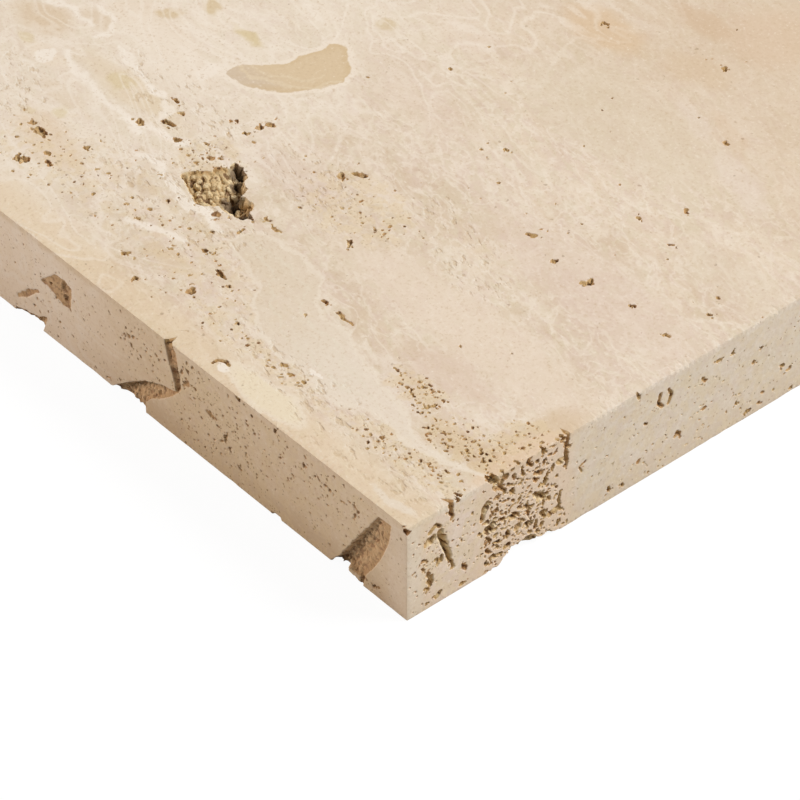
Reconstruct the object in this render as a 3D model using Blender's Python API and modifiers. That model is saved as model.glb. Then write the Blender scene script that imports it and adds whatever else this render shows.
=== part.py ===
"""Travertine tile: one sawn slab of unfilled travertine, honed on top, with its natural voids open.

Metres, +Z up. The origin is the centre of the underside. X is the tile's length, along which the
stone's bedding runs, and Y is its width. Places on a face are measured from the tile's near corner,
at +X and -Y, so they stay with that corner when the tile is made larger or smaller.
"""

import math
import random
from collections import namedtuple

import bmesh
import bpy
from mathutils import Matrix, Vector, noise

MM = 0.001

# Driving dimensions of the sawn slab
TILE_LENGTH = 305 * MM
TILE_WIDTH = 305 * MM
TILE_THICKNESS = 30 * MM
ARRIS_EASE = 0.8 * MM
ARRIS_SEGMENTS = 2

# Scattered voids keep this far from the centre of each face, and from each other
CLEAR_CENTRE_RADIUS = 12 * MM
VOID_SPACING = 1.2 * MM
WALL_MIN = 0.3 * MM

# Roughness of a void's wall, as a share of its own size, and the size of the lumps on it
WALL_ROUGHNESS = 0.16
WALL_LUMP = 1.6 * MM
# How far a void's widest level lies under the face, as a share of its depth
UNDERCUT = 0.12

Face = namedtuple("Face", "origin along up out length height")
Void = namedtuple("Void", "a b length width depth turn")


def faces_of_slab():
    """The six faces, each with the corner that its places are measured from."""
    x, y, z = TILE_LENGTH / 2, TILE_WIDTH / 2, TILE_THICKNESS
    east, north, above = Vector((1, 0, 0)), Vector((0, 1, 0)), Vector((0, 0, 1))
    return {
        "top": Face(Vector((x, -y, z)), -east, north, above, TILE_LENGTH, TILE_WIDTH),
        "underside": Face(Vector((x, -y, 0)), -east, north, -above, TILE_LENGTH, TILE_WIDTH),
        "front": Face(Vector((x, -y, 0)), -east, above, -north, TILE_LENGTH, TILE_THICKNESS),
        "back": Face(Vector((x, y, 0)), -east, above, north, TILE_LENGTH, TILE_THICKNESS),
        "right": Face(Vector((x, -y, 0)), north, above, east, TILE_WIDTH, TILE_THICKNESS),
        "left": Face(Vector((-x, -y, 0)), north, above, -east, TILE_WIDTH, TILE_THICKNESS),
    }


def on_face(face, a, b, depth=0.0):
    return face.origin + face.along * a + face.up * b - face.out * depth


# The large vug in the honed face: overlapping chambers
VUG_CHAMBERS = (
    Void(131.0 * MM, 46.0 * MM, 15.0 * MM, 8.5 * MM, 5.0 * MM, -10),
    Void(129.5 * MM, 52.0 * MM, 7.5 * MM, 9.5 * MM, 4.6 * MM, 20),
    Void(122.0 * MM, 46.6 * MM, 8.0 * MM, 6.8 * MM, 8.0 * MM, 0),
    Void(117.0 * MM, 45.4 * MM, 7.5 * MM, 4.0 * MM, 6.0 * MM, 20),
)

# Single voids of the honed face, the largest that the near half shows
TOP_VOIDS = (
    Void(111.0 * MM, 77.5 * MM, 3.4 * MM, 1.6 * MM, 1.5 * MM, -35),
    Void(110.5 * MM, 73.5 * MM, 2.8 * MM, 1.4 * MM, 1.5 * MM, 10),
    Void(139.0 * MM, 72.0 * MM, 2.2 * MM, 3.2 * MM, 1.5 * MM, 20),
    Void(155.5 * MM, 54.2 * MM, 4.0 * MM, 1.8 * MM, 1.6 * MM, -10),
    Void(149.5 * MM, 51.5 * MM, 2.4 * MM, 1.6 * MM, 1.3 * MM, 0),
    Void(161.0 * MM, 48.8 * MM, 3.4 * MM, 1.3 * MM, 1.2 * MM, 10),
    Void(162.0 * MM, 32.5 * MM, 2.0 * MM, 1.6 * MM, 1.3 * MM, 0),
    Void(174.0 * MM, 27.4 * MM, 4.4 * MM, 1.5 * MM, 1.4 * MM, -8),
    Void(168.5 * MM, 17.0 * MM, 4.2 * MM, 1.8 * MM, 1.5 * MM, -12),
    Void(163.0 * MM, 21.0 * MM, 2.6 * MM, 1.4 * MM, 1.2 * MM, 0),
    Void(110.3 * MM, 40.0 * MM, 1.6 * MM, 2.8 * MM, 1.6 * MM, 0),
    Void(101.0 * MM, 25.6 * MM, 3.0 * MM, 1.8 * MM, 1.6 * MM, -15),
    Void(100.0 * MM, 16.2 * MM, 2.6 * MM, 1.6 * MM, 1.4 * MM, 20),
    Void(76.5 * MM, 18.6 * MM, 3.2 * MM, 1.3 * MM, 1.3 * MM, -20),
    Void(68.0 * MM, 38.2 * MM, 5.4 * MM, 1.1 * MM, 1.5 * MM, 4),
    Void(75.0 * MM, 5.2 * MM, 4.0 * MM, 1.3 * MM, 2.0 * MM, 25),
    Void(44.0 * MM, 35.4 * MM, 5.0 * MM, 1.2 * MM, 1.3 * MM, -6),
    Void(37.0 * MM, 33.4 * MM, 3.0 * MM, 1.6 * MM, 1.4 * MM, -20),
    Void(31.5 * MM, 31.6 * MM, 4.0 * MM, 1.5 * MM, 1.6 * MM, 0),
    Void(24.0 * MM, 27.0 * MM, 4.2 * MM, 1.8 * MM, 1.6 * MM, -10),
    Void(19.5 * MM, 29.0 * MM, 2.4 * MM, 2.2 * MM, 1.8 * MM, 0),
    Void(12.0 * MM, 18.6 * MM, 4.4 * MM, 1.4 * MM, 1.4 * MM, -8),
    Void(28.5 * MM, 15.6 * MM, 2.4 * MM, 1.5 * MM, 1.2 * MM, 0),
    Void(39.0 * MM, 92.4 * MM, 1.6 * MM, 2.6 * MM, 1.3 * MM, 15),
    Void(61.5 * MM, 94.8 * MM, 3.2 * MM, 1.2 * MM, 1.1 * MM, -15),
    Void(91.0 * MM, 113.0 * MM, 2.0 * MM, 1.4 * MM, 1.2 * MM, 0),
    Void(55.8 * MM, 156.6 * MM, 2.2 * MM, 1.3 * MM, 1.3 * MM, 0),
    Void(89.0 * MM, 58.2 * MM, 3.4 * MM, 1.2 * MM, 1.2 * MM, 30),
)

# Single voids of the front face, below the sawn top edge
FRONT_VOIDS = (
    Void(131.0 * MM, 19.8 * MM, 2.6 * MM, 5.4 * MM, 2.6 * MM, -12),
    Void(136.5 * MM, 18.0 * MM, 3.6 * MM, 2.2 * MM, 1.4 * MM, 10),
    Void(139.2 * MM, 17.2 * MM, 1.8 * MM, 1.8 * MM, 1.0 * MM, 0),
    Void(82.2 * MM, 21.8 * MM, 3.6 * MM, 3.0 * MM, 1.6 * MM, 35),
    Void(84.2 * MM, 24.4 * MM, 1.6 * MM, 2.6 * MM, 1.2 * MM, 0),
    Void(72.5 * MM, 16.9 * MM, 5.4 * MM, 1.7 * MM, 1.5 * MM, -10),
    Void(67.6 * MM, 12.0 * MM, 1.7 * MM, 3.8 * MM, 1.3 * MM, 0),
    Void(61.3 * MM, 6.5 * MM, 1.8 * MM, 2.2 * MM, 1.0 * MM, 0),
    Void(24.8 * MM, 22.8 * MM, 2.0 * MM, 1.8 * MM, 1.0 * MM, 0),
    Void(19.6 * MM, 22.6 * MM, 3.0 * MM, 1.8 * MM, 1.1 * MM, 25),
    Void(11.4 * MM, 3.0 * MM, 3.0 * MM, 1.6 * MM, 1.1 * MM, 0),
    Void(62.5 * MM, 29.6 * MM, 3.0 * MM, 1.4 * MM, 1.2 * MM, 0),
)

# Stem moulds and single voids of the right face, near the corner
RIGHT_VOIDS = (
    Void(12.0 * MM, 16.4 * MM, 14.6 * MM, 1.5 * MM, 3.0 * MM, -70),
    Void(9.2 * MM, 23.8 * MM, 3.6 * MM, 3.0 * MM, 1.8 * MM, 0),
    Void(13.8 * MM, 27.0 * MM, 1.2 * MM, 4.6 * MM, 1.6 * MM, -8),
    Void(24.2 * MM, 20.8 * MM, 6.6 * MM, 1.8 * MM, 2.6 * MM, 68),
    Void(5.4 * MM, 16.4 * MM, 2.6 * MM, 1.6 * MM, 1.5 * MM, 0),
    Void(7.0 * MM, 8.2 * MM, 6.0 * MM, 1.9 * MM, 2.0 * MM, 62),
    Void(10.2 * MM, 13.8 * MM, 1.9 * MM, 2.8 * MM, 1.5 * MM, 0),
    Void(18.6 * MM, 6.0 * MM, 3.4 * MM, 1.3 * MM, 1.2 * MM, -40),
    Void(46.6 * MM, 7.4 * MM, 3.8 * MM, 1.4 * MM, 2.6 * MM, 18),
    Void(87.6 * MM, 8.6 * MM, 2.8 * MM, 1.5 * MM, 1.3 * MM, -25),
    Void(65.4 * MM, 3.4 * MM, 1.6 * MM, 2.0 * MM, 1.1 * MM, 0),
    Void(101.4 * MM, 25.4 * MM, 2.2 * MM, 1.3 * MM, 1.1 * MM, 0),
    Void(95.8 * MM, 21.4 * MM, 1.5 * MM, 1.5 * MM, 1.0 * MM, 0),
    Void(111.4 * MM, 1.6 * MM, 3.2 * MM, 1.7 * MM, 1.3 * MM, 0),
)

# The ring left by a reed that the stone grew round, on the right face
REED_A = 83.2 * MM
REED_B = 22.4 * MM
REED_RADIUS = 1.9 * MM
REED_WALL = 0.45 * MM
REED_STRETCH = 1.3
REED_SEGMENTS = 18
REED_WALL_SEGMENTS = 6

# The spongy bed that crosses the right face from top to bottom
SPONGE_START = 25.5 * MM
SPONGE_END = 50.0 * MM
SPONGE_CELLS = 34
SPONGE_CELL_MIN = 1.5 * MM
SPONGE_CELL_MAX = 3.4 * MM
SPONGE_DEPTH = 1.9 * MM
SPONGE_SEED = 11

# Where that bed has crumbled away along the bottom edge
CRUMBLE = (
    Void(34.0 * MM, 0.0 * MM, 9.0 * MM, 7.0 * MM, 3.4 * MM, 0),
    Void(39.0 * MM, 0.0 * MM, 7.0 * MM, 6.6 * MM, 3.0 * MM, 0),
    Void(44.0 * MM, 0.0 * MM, 5.0 * MM, 3.6 * MM, 2.0 * MM, 0),
    Void(27.0 * MM, 14.0 * MM, 3.4 * MM, 3.2 * MM, 3.2 * MM, 0),
    Void(27.8 * MM, 28.0 * MM, 4.0 * MM, 5.0 * MM, 2.6 * MM, 0),
    Void(42.4 * MM, 15.0 * MM, 3.8 * MM, 3.2 * MM, 2.8 * MM, 0),
    Void(49.0 * MM, 23.0 * MM, 3.2 * MM, 2.2 * MM, 2.4 * MM, -15),
)

# Breakouts: (along the face, up the face, depth) of each corner, in order round the outline
DIAGONAL_BREAKOUT = (
    (10.2 * MM, 27.0 * MM, 0.6 * MM),
    (20.4 * MM, 11.0 * MM, 2.6 * MM),
    (28.6 * MM, -2.0 * MM, 3.4 * MM),
    (20.6 * MM, -2.0 * MM, 2.2 * MM),
    (15.4 * MM, 4.0 * MM, 1.6 * MM),
    (9.0 * MM, 15.0 * MM, 1.0 * MM),
    (6.8 * MM, 21.0 * MM, 0.7 * MM),
    (7.6 * MM, 26.0 * MM, 0.5 * MM),
)
LEAF_BREAKOUT = (
    (113.6 * MM, -2.0 * MM, 1.0 * MM),
    (109.0 * MM, 3.2 * MM, 3.4 * MM),
    (104.0 * MM, 6.4 * MM, 3.6 * MM),
    (96.0 * MM, 11.2 * MM, 2.2 * MM),
    (85.6 * MM, 16.0 * MM, 0.7 * MM),
    (93.0 * MM, 9.6 * MM, 0.5 * MM),
    (99.0 * MM, 4.6 * MM, 0.9 * MM),
    (105.3 * MM, 2.6 * MM, 2.6 * MM),
    (105.4 * MM, -2.0 * MM, 3.4 * MM),
)
CREVICE = (
    (90.4 * MM, 31.5 * MM, 0.7 * MM),
    (89.0 * MM, 25.0 * MM, 1.3 * MM),
    (86.2 * MM, 15.6 * MM, 1.2 * MM),
    (84.8 * MM, 16.2 * MM, 0.8 * MM),
    (84.9 * MM, 20.4 * MM, 0.5 * MM),
    (87.0 * MM, 27.6 * MM, 0.4 * MM),
)
CORNER_BREAKOUT = (
    (153.0 * MM, -2.0 * MM, 1.4 * MM),
    (152.0 * MM, 2.0 * MM, 1.6 * MM),
    (145.0 * MM, 4.2 * MM, 2.8 * MM),
    (139.8 * MM, 6.0 * MM, 1.0 * MM),
    (140.6 * MM, 2.4 * MM, 0.8 * MM),
    (141.8 * MM, -2.0 * MM, 3.0 * MM),
)
FRONT_BREAKOUTS = (DIAGONAL_BREAKOUT, LEAF_BREAKOUT, CREVICE, CORNER_BREAKOUT)
BREAKOUT_PROUD = 1.5 * MM

# Scattered voids: how many on each face, and how large
TOP_SCATTER = 18
UNDERSIDE_SCATTER = 10
SIDE_SCATTER = 4
SCATTER_LENGTH_MIN = 1.8 * MM
SCATTER_LENGTH_MAX = 5.0 * MM
SCATTER_SLIMNESS = 0.5
SCATTER_DEPTH = 0.45
SCATTER_SEED = 4
# The beds of the stone that hold most of the voids, as distances across the tile
POROUS_BEDS = (22 * MM, 62 * MM, 178 * MM, 236 * MM, 282 * MM)
BED_SPREAD = 11 * MM

STONE_COLOUR = (0.73, 0.60, 0.46, 1.0)
STONE_ROUGHNESS = 0.6


def clear_scene():
    for obj in list(bpy.data.objects):
        bpy.data.objects.remove(obj)


def collection(name):
    made = bpy.data.collections.new(name)
    bpy.context.scene.collection.children.link(made)
    return made


def mesh_object(name, bm, where):
    mesh = bpy.data.meshes.new(name)
    bm.to_mesh(mesh)
    bm.free()
    obj = bpy.data.objects.new(name, mesh)
    where.objects.link(obj)
    return obj


def roughen(verts, centre):
    """Push a void's wall in and out, so that its rim isn't a clean oval."""
    for vert in verts:
        lump = noise.noise(vert.co / WALL_LUMP)
        vert.co += (vert.co - centre) * lump * WALL_ROUGHNESS * 2


def add_void(bm, face, void, detail):
    """A rough ellipsoid, half of it sunk in the face."""
    turned = Matrix.Rotation(math.radians(void.turn), 3, face.out)
    sides = (
        turned @ face.along * void.length / 2,
        turned @ face.up * void.width / 2,
        face.out * void.depth,
    )
    shape = Matrix(sides).transposed().to_4x4()
    if shape.determinant() < 0:
        shape = shape @ Matrix.Scale(-1, 4, Vector((1, 0, 0)))
    centre = on_face(face, void.a, void.b, void.depth * UNDERCUT)
    made = bmesh.ops.create_icosphere(
        bm, subdivisions=detail, radius=1.0, matrix=Matrix.Translation(centre) @ shape
    )
    roughen(made["verts"], centre)


def cutter(name, bm, where):
    obj = mesh_object(name, bm, where)
    obj.hide_render = True
    obj.display_type = "WIRE"
    return obj


def clear_of(void, others, gap):
    return all(
        math.hypot(void.a - other.a, void.b - other.b)
        > (max(void.length, void.width) + max(other.length, other.width)) / 2 + gap
        for other in others
    )


def voids_cutters(name, face, voids, detail, where):
    """Cutters for these voids, in as few groups as leave no two in one group touching."""
    groups = []
    for void in voids:
        roomy = [group for group in groups if clear_of(void, group, WALL_MIN)]
        if roomy:
            roomy[0].append(void)
        else:
            groups.append([void])
    made = []
    for number, group in enumerate(groups):
        bm = bmesh.new()
        for void in group:
            add_void(bm, face, void, detail)
        made.append(cutter(f"{name}_{number}", bm, where))
    return made


def breakout_cutter(name, face, outline, where):
    """A block whose outer end stands proud of the face and whose inner end follows the depths."""
    bm = bmesh.new()
    inner = [bm.verts.new(on_face(face, a, b, depth)) for a, b, depth in outline]
    floor = bm.faces.new(inner)
    pulled = bmesh.ops.extrude_face_region(bm, geom=[floor])
    outer = [item for item in pulled["geom"] if isinstance(item, bmesh.types.BMVert)]
    for vert in outer:
        to_face = (vert.co - face.origin).dot(face.out)
        vert.co += face.out * (BREAKOUT_PROUD - to_face)
    bmesh.ops.triangulate(bm, faces=bm.faces)
    bmesh.ops.subdivide_edges(bm, edges=bm.edges, cuts=1)
    bmesh.ops.recalc_face_normals(bm, faces=bm.faces)
    for vert in bm.verts:
        inside = (face.origin - vert.co).dot(face.out)
        if inside > 0:
            vert.co += face.out * noise.noise(vert.co / WALL_LUMP) * inside * WALL_ROUGHNESS * 2
    return cutter(name, bm, where)


def reed_cutter(face, where):
    """A ring groove round a plug of stone."""
    up_the_face = Matrix((face.along, face.up, face.out)).transposed().to_4x4()
    if up_the_face.determinant() < 0:
        up_the_face = up_the_face @ Matrix.Scale(-1, 4, Vector((1, 0, 0)))
    bpy.ops.mesh.primitive_torus_add(
        major_radius=REED_RADIUS,
        minor_radius=REED_WALL,
        major_segments=REED_SEGMENTS,
        minor_segments=REED_WALL_SEGMENTS,
    )
    ring = bpy.context.object
    ring.name = "reed_ring"
    stretch = Matrix.Diagonal((1.0, REED_STRETCH, 1.0, 1.0))
    place = on_face(face, REED_A, REED_B, REED_WALL * UNDERCUT)
    ring.data.transform(Matrix.Translation(place) @ up_the_face @ stretch)
    for owner in list(ring.users_collection):
        owner.objects.unlink(ring)
    where.objects.link(ring)
    ring.hide_render = True
    ring.display_type = "WIRE"
    return ring


def sponge_voids(face, chance):
    """Cells of the spongy bed, thrown over its whole height with thin walls left between them."""
    cells = []
    tries = 0
    while len(cells) < SPONGE_CELLS and tries < SPONGE_CELLS * 80:
        tries += 1
        size = chance.uniform(SPONGE_CELL_MIN, SPONGE_CELL_MAX)
        cell = Void(
            chance.uniform(SPONGE_START, SPONGE_END),
            chance.uniform(0, face.height),
            size,
            size * chance.uniform(0.5, 0.9),
            SPONGE_DEPTH * chance.uniform(0.6, 1.2),
            chance.uniform(20, 110),
        )
        if clear_of(cell, [*cells, *CRUMBLE], WALL_MIN):
            cells.append(cell)
    return cells


def scattered(face, count, chance, taken, banded, skip=None):
    """Voids thrown over a face, most of them in the porous beds, clear of each other and of the face's centre."""
    found = []
    centre = Void(face.length / 2, face.height / 2, CLEAR_CENTRE_RADIUS * 2, 0, 0, 0)
    margin = SCATTER_LENGTH_MAX
    tries = 0
    while len(found) < count and tries < count * 60:
        tries += 1
        length = chance.uniform(SCATTER_LENGTH_MIN, SCATTER_LENGTH_MAX)
        a = chance.uniform(margin, face.length - margin)
        if banded:
            b = chance.gauss(chance.choice(POROUS_BEDS), BED_SPREAD)
        else:
            b = chance.uniform(0, face.height)
        slim = chance.uniform(SCATTER_SLIMNESS * 0.7, SCATTER_SLIMNESS * 1.5)
        void = Void(a, b, length, length * slim, length * slim * SCATTER_DEPTH * 2, chance.uniform(-20, 20))
        if banded and not margin < b < face.height - margin:
            continue
        if skip and skip(void):
            continue
        if clear_of(void, [centre, *taken, *found], VOID_SPACING):
            found.append(void)
    return found


# How far the near corner's hand-placed voids reach, where no more are thrown
NEAR_REACH = 130 * MM


def all_cutters(faces, where):
    """Every cutter of the tile, each with no part of it crossing another part."""
    chance = random.Random(SCATTER_SEED)
    front, right = faces["front"], faces["right"]

    def near_corner(void):
        return void.a < NEAR_REACH and void.b < NEAR_REACH

    thrown = {
        "top": scattered(faces["top"], TOP_SCATTER, chance, (), True, near_corner),
        "underside": scattered(faces["underside"], UNDERSIDE_SCATTER, chance, (), True),
        "front": scattered(front, SIDE_SCATTER, chance, FRONT_VOIDS, False, near_corner),
        "right": scattered(right, SIDE_SCATTER, chance, RIGHT_VOIDS, False, near_corner),
        "back": scattered(faces["back"], SIDE_SCATTER, chance, (), False),
        "left": scattered(faces["left"], SIDE_SCATTER, chance, (), False),
    }
    sponge = sponge_voids(right, random.Random(SPONGE_SEED))
    made = [
        *voids_cutters("vug", faces["top"], VUG_CHAMBERS, 3, where),
        *voids_cutters("top_voids", faces["top"], [*TOP_VOIDS, *thrown.pop("top")], 1, where),
        *voids_cutters("front_voids", front, [*FRONT_VOIDS, *thrown.pop("front")], 1, where),
        *voids_cutters("right_voids", right, [*RIGHT_VOIDS, *thrown.pop("right")], 1, where),
        *voids_cutters("sponge", right, sponge, 1, where),
        *voids_cutters("crumble", right, CRUMBLE, 2, where),
        reed_cutter(right, where),
    ]
    for number, outline in enumerate(FRONT_BREAKOUTS):
        made.append(breakout_cutter(f"breakout_{number}", front, outline, where))
    for name, voids in thrown.items():
        made += voids_cutters(f"{name}_voids", faces[name], voids, 1, where)
    return made


def slab(where):
    bm = bmesh.new()
    bmesh.ops.create_cube(bm, size=1.0)
    bmesh.ops.scale(bm, vec=(TILE_LENGTH, TILE_WIDTH, TILE_THICKNESS), verts=bm.verts)
    bmesh.ops.translate(bm, vec=(0, 0, TILE_THICKNESS / 2), verts=bm.verts)
    obj = mesh_object("travertine_tile", bm, where)
    ease = obj.modifiers.new("eased_arrises", "BEVEL")
    ease.width = ARRIS_EASE
    ease.segments = ARRIS_SEGMENTS
    return obj


def cut(obj, tool):
    carve = obj.modifiers.new(tool.name, "BOOLEAN")
    carve.operation = "DIFFERENCE"
    carve.solver = "EXACT"
    carve.object = tool


def drop_crumbs(bm):
    """Bits that the voids have cut free of the slab fall out of it."""
    islands, seen = [], set()
    for start in bm.verts:
        if start in seen:
            continue
        island, edge_of_it = {start}, [start]
        while edge_of_it:
            vert = edge_of_it.pop()
            for edge in vert.link_edges:
                other = edge.other_vert(vert)
                if other not in island:
                    island.add(other)
                    edge_of_it.append(other)
        seen |= island
        islands.append(island)
    keep = max(islands, key=len)
    bmesh.ops.delete(bm, geom=[v for v in bm.verts if v not in keep], context="VERTS")


def settle(obj):
    """Keep what the modifiers make as the tile's own mesh."""
    graph = bpy.context.evaluated_depsgraph_get()
    mesh = bpy.data.meshes.new_from_object(obj.evaluated_get(graph))
    bm = bmesh.new()
    bm.from_mesh(mesh)
    drop_crumbs(bm)
    bm.to_mesh(mesh)
    bm.free()
    obj.modifiers.clear()
    obj.data = mesh
    mesh.name = obj.name


def stone():
    material = bpy.data.materials.new("travertine")
    material.use_nodes = True
    shader = material.node_tree.nodes["Principled BSDF"]
    shader.inputs["Base Color"].default_value = STONE_COLOUR
    shader.inputs["Roughness"].default_value = STONE_ROUGHNESS
    shader.inputs["Metallic"].default_value = 0.0
    return material


def build():
    clear_scene()
    tile_parts = collection("travertine_tile")
    cutters = collection("cutters")
    tile = slab(tile_parts)
    for tool in all_cutters(faces_of_slab(), cutters):
        cut(tile, tool)
    bpy.context.view_layer.update()
    settle(tile)
    tile.data.materials.append(stone())


build()
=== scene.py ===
"""Travertine tile: the looks of a sawn slab of unfilled travertine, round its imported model.

The tile is one solid. A box of its packed size is cut finer wherever the stone is broken, and each of its
points is then sunk to the carved surface. The carving is drawn face by face, as depths in millimetres.
A place on a face is (a, b), measured from the tile's near corner, at +X and -Y: a runs along the face and
b runs up it, or across the tile on the top and the underside.
"""

import math
import random
from collections import namedtuple

import bmesh
import bpy
import numpy as np
from mathutils import Matrix, Vector


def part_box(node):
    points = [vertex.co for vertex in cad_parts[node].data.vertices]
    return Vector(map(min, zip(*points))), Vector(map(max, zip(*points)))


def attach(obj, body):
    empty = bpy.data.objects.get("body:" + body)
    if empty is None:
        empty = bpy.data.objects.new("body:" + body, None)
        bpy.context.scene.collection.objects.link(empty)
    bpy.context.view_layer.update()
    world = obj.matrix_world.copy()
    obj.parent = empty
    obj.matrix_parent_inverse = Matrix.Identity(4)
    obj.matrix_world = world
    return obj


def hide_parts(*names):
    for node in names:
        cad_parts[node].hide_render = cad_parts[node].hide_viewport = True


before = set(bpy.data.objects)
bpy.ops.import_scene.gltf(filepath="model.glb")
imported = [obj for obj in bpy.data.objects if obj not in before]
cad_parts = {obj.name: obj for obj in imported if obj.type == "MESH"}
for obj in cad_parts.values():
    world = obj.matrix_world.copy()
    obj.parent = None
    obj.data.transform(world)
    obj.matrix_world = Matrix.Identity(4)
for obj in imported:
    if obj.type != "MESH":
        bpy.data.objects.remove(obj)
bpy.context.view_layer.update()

MM = 0.001
LOW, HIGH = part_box("travertine_tile")
LENGTH, WIDTH, THICKNESS = ((high - low) / MM for low, high in zip(LOW, HIGH))

# The view of the photograph, fitted to the tile's edges
VIEW_AZIMUTH = 49.1
VIEW_ELEVATION = 41.2
VIEW_LENS = 225.0
VIEW_SENSOR = 36.0
VIEW_DISTANCE = 1167.0
CORNER_RIGHT = 1.68
CORNER_DOWN = 30.1

# Carving, in mm
SEED = 7
# The grid that a face is carved on, and the step between its neighbours that counts as broken stone
PIXEL = 0.2
BROKEN_STEP = 0.03
# Edges of the mesh: the longest, the shortest on broken stone, on arrises, and where no photograph shows it
COARSEST_EDGE = 6.4
FINEST_EDGE = 0.26
ARRIS_EDGE = 0.8
PLAIN_EDGE = 0.8
# Each round of cutting goes for edges this much shorter, and leaves those that are hardly too long
EDGE_STEP = 1.45
EDGE_SLACK = 1.25
# Edges that sinking stretches down the walls of voids
WALL_EDGE = 0.7
WALL_ROUNDS = 3
WALL_STRETCH = 1.3
SHORTEST_EDGE = 0.12
TRIANGLES = 196000
# Hollows shorter than this are one lobe. The others are a few lobes that overlap, with crumbs round them:
# how far from the middle they reach, and their size and depth, all as shares of the hollow's own
LONE_LOBE = 1.1
SMALLEST_LOBE = 0.5
MOST_LOBES = 8
LOBE_REACH = 0.36
LOBE_SHARES = (0.4, 0.72)
LOBE_DEPTHS = (0.6, 1.0)
LOBE_WIDENING = 1.15
LOBE_TURN = 40
CRUMBS = 2
CRUMB_REACH = 0.85
CRUMB_SHARE = 0.3
CRUMB_DEPTH = 0.5
# A hollow's profile: 0.5 is a round bowl, and less has steeper walls and a flatter floor
STEEPNESS = 0.5
# Small pits: how much they outnumber larger ones, how narrow they get, which way they lie, in degrees
PIT_LEAN = 1.8
PIT_WIDTHS = (0.5, 0.95)
PIT_DEPTHS = (0.5, 1.0)
PIT_TURNS = (-60, 30)
NARROWEST_PIT = 0.45
# Pits keep clear of stone that is cut deeper than this, and are looked up in cells of this size
UNCUT = 0.1
PIT_CELL = 6
# Relief in layers of lumps, each a height and a size: of outlines, floors, walls and crumbling arrises
RIM_WANDER = ((0.34, 1.5), (0.2, 0.6))
BROKEN_FLOOR = ((0.22, 2.6), (0.16, 1.0))
ROUGH_WALLS = ((0.2, 1.1), (0.16, 0.55))
ARRIS_CRUMBLE = ((0.6, 8.0), (0.4, 2.3))
# The breaks of the front have cleaner outlines than the others
FRONT_RAGGED = 0.35
# Round a point, the reach of the level that tells narrow holes from broad floors
LEVEL_REACH = 1.4
# Rounded crystals on the walls of hollows: how far apart they stand, and how far out
KNOB_SPACING = 1.35
KNOB_HEIGHT = 0.75
# They fill this much of their spacing, start this deep, and are this thick outside the vug
KNOB_RADIUS = 0.72
KNOB_START = 0.3
KNOB_SLOPE = 0.6
KNOB_SHARE = 0.45
# The part of a crystal's height at which the wall stays where it was
KNOB_MIDDLE = 0.35
# The larger lumps on the floor of the vug
LUMP_SPACING = 1.7
LUMP_HEIGHT = 0.9
LUMP_MIDDLE = 0.45
# How steeply they fade in from the border of their oval, and the depth of floor that carries them
LUMP_FADE = 2.2
LUMP_FLOOR = 0.2
# The part of the tile that the photograph shows, from the near corner, which is cut finest
SHOWN_LENGTH, SHOWN_WIDTH = 232.0, 222.0
# Beyond the line between these two places, the top is outside the photograph
SHOWN_ENDS = ((226.0, 54.0), (88.0, 214.0))
SHARP_ANGLE = 25.0
# Stone that is deeper than this is shaded smooth, and an arris worn this far carries no silt
SAWN_DEPTH = 0.06
# How far each arris of the top is worn, and how much further where it has crumbled; then all the others
ARRIS_WEAR = {
    ("top", "front"): (0.22, 0.28),
    ("top", "right"): (0.22, 0.5),
    ("front", "right"): (0.2, 0.12),
    ("underside", "front"): (0.3, 0.2),
    ("underside", "right"): (0.3, 0.3),
}
OTHER_WEAR = (0.35, 0.8)
# Points sink straight into a face, and diagonally this near an arris, in steps that stop short of the stone
SINK_BLEND = 6.0
SINK_STEPS = 24
SINK_PACE = 0.85
SINK_NEAR = 0.01

# A soft key lamp from behind on the right, and a warm fill from the left: place, power, colour
LAMPS = {
    "key": ((1.455, 1.455, 2.183), 92.5, "#FFFFFF"),
    "fill": ((-2.259, -1.807, 0.791), 51.5, "#FFE7D4"),
}
LAMP_WIDTH = 1.4
SKY_STRENGTH = 0.15
# The floor: its own grey, how strongly it glows to the camera, and how much of its look is that glow
FLOOR_SIZE = 6.0
FLOOR_PAPER = "#D0D0D0"
FLOOR_GLOW = 1.06
FLOOR_GLOW_SHARE = 0.9

Face = namedtuple("Face", "corner along up out length height")
Void = namedtuple("Void", "a b length width depth turn")


def tile_faces():
    x, y, z = LENGTH / 2, WIDTH / 2, THICKNESS
    east, north, above = np.eye(3)
    corner = np.array((x, -y, 0.0))
    return {
        "top": Face(corner + above * z, -east, north, above, LENGTH, WIDTH),
        "underside": Face(corner, -east, north, -above, LENGTH, WIDTH),
        "front": Face(corner, -east, above, -north, LENGTH, THICKNESS),
        "back": Face(corner + north * WIDTH, -east, above, north, LENGTH, THICKNESS),
        "right": Face(corner, north, above, east, WIDTH, THICKNESS),
        "left": Face(corner - east * LENGTH, north, above, -east, WIDTH, THICKNESS),
    }


FACES = tile_faces()
ARRISES = [
    (first, second)
    for first in ("top", "underside", "front", "back")
    for second in ("front", "back", "right", "left")
    if first != second and not {first, second} == {"front", "back"}
]


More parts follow.
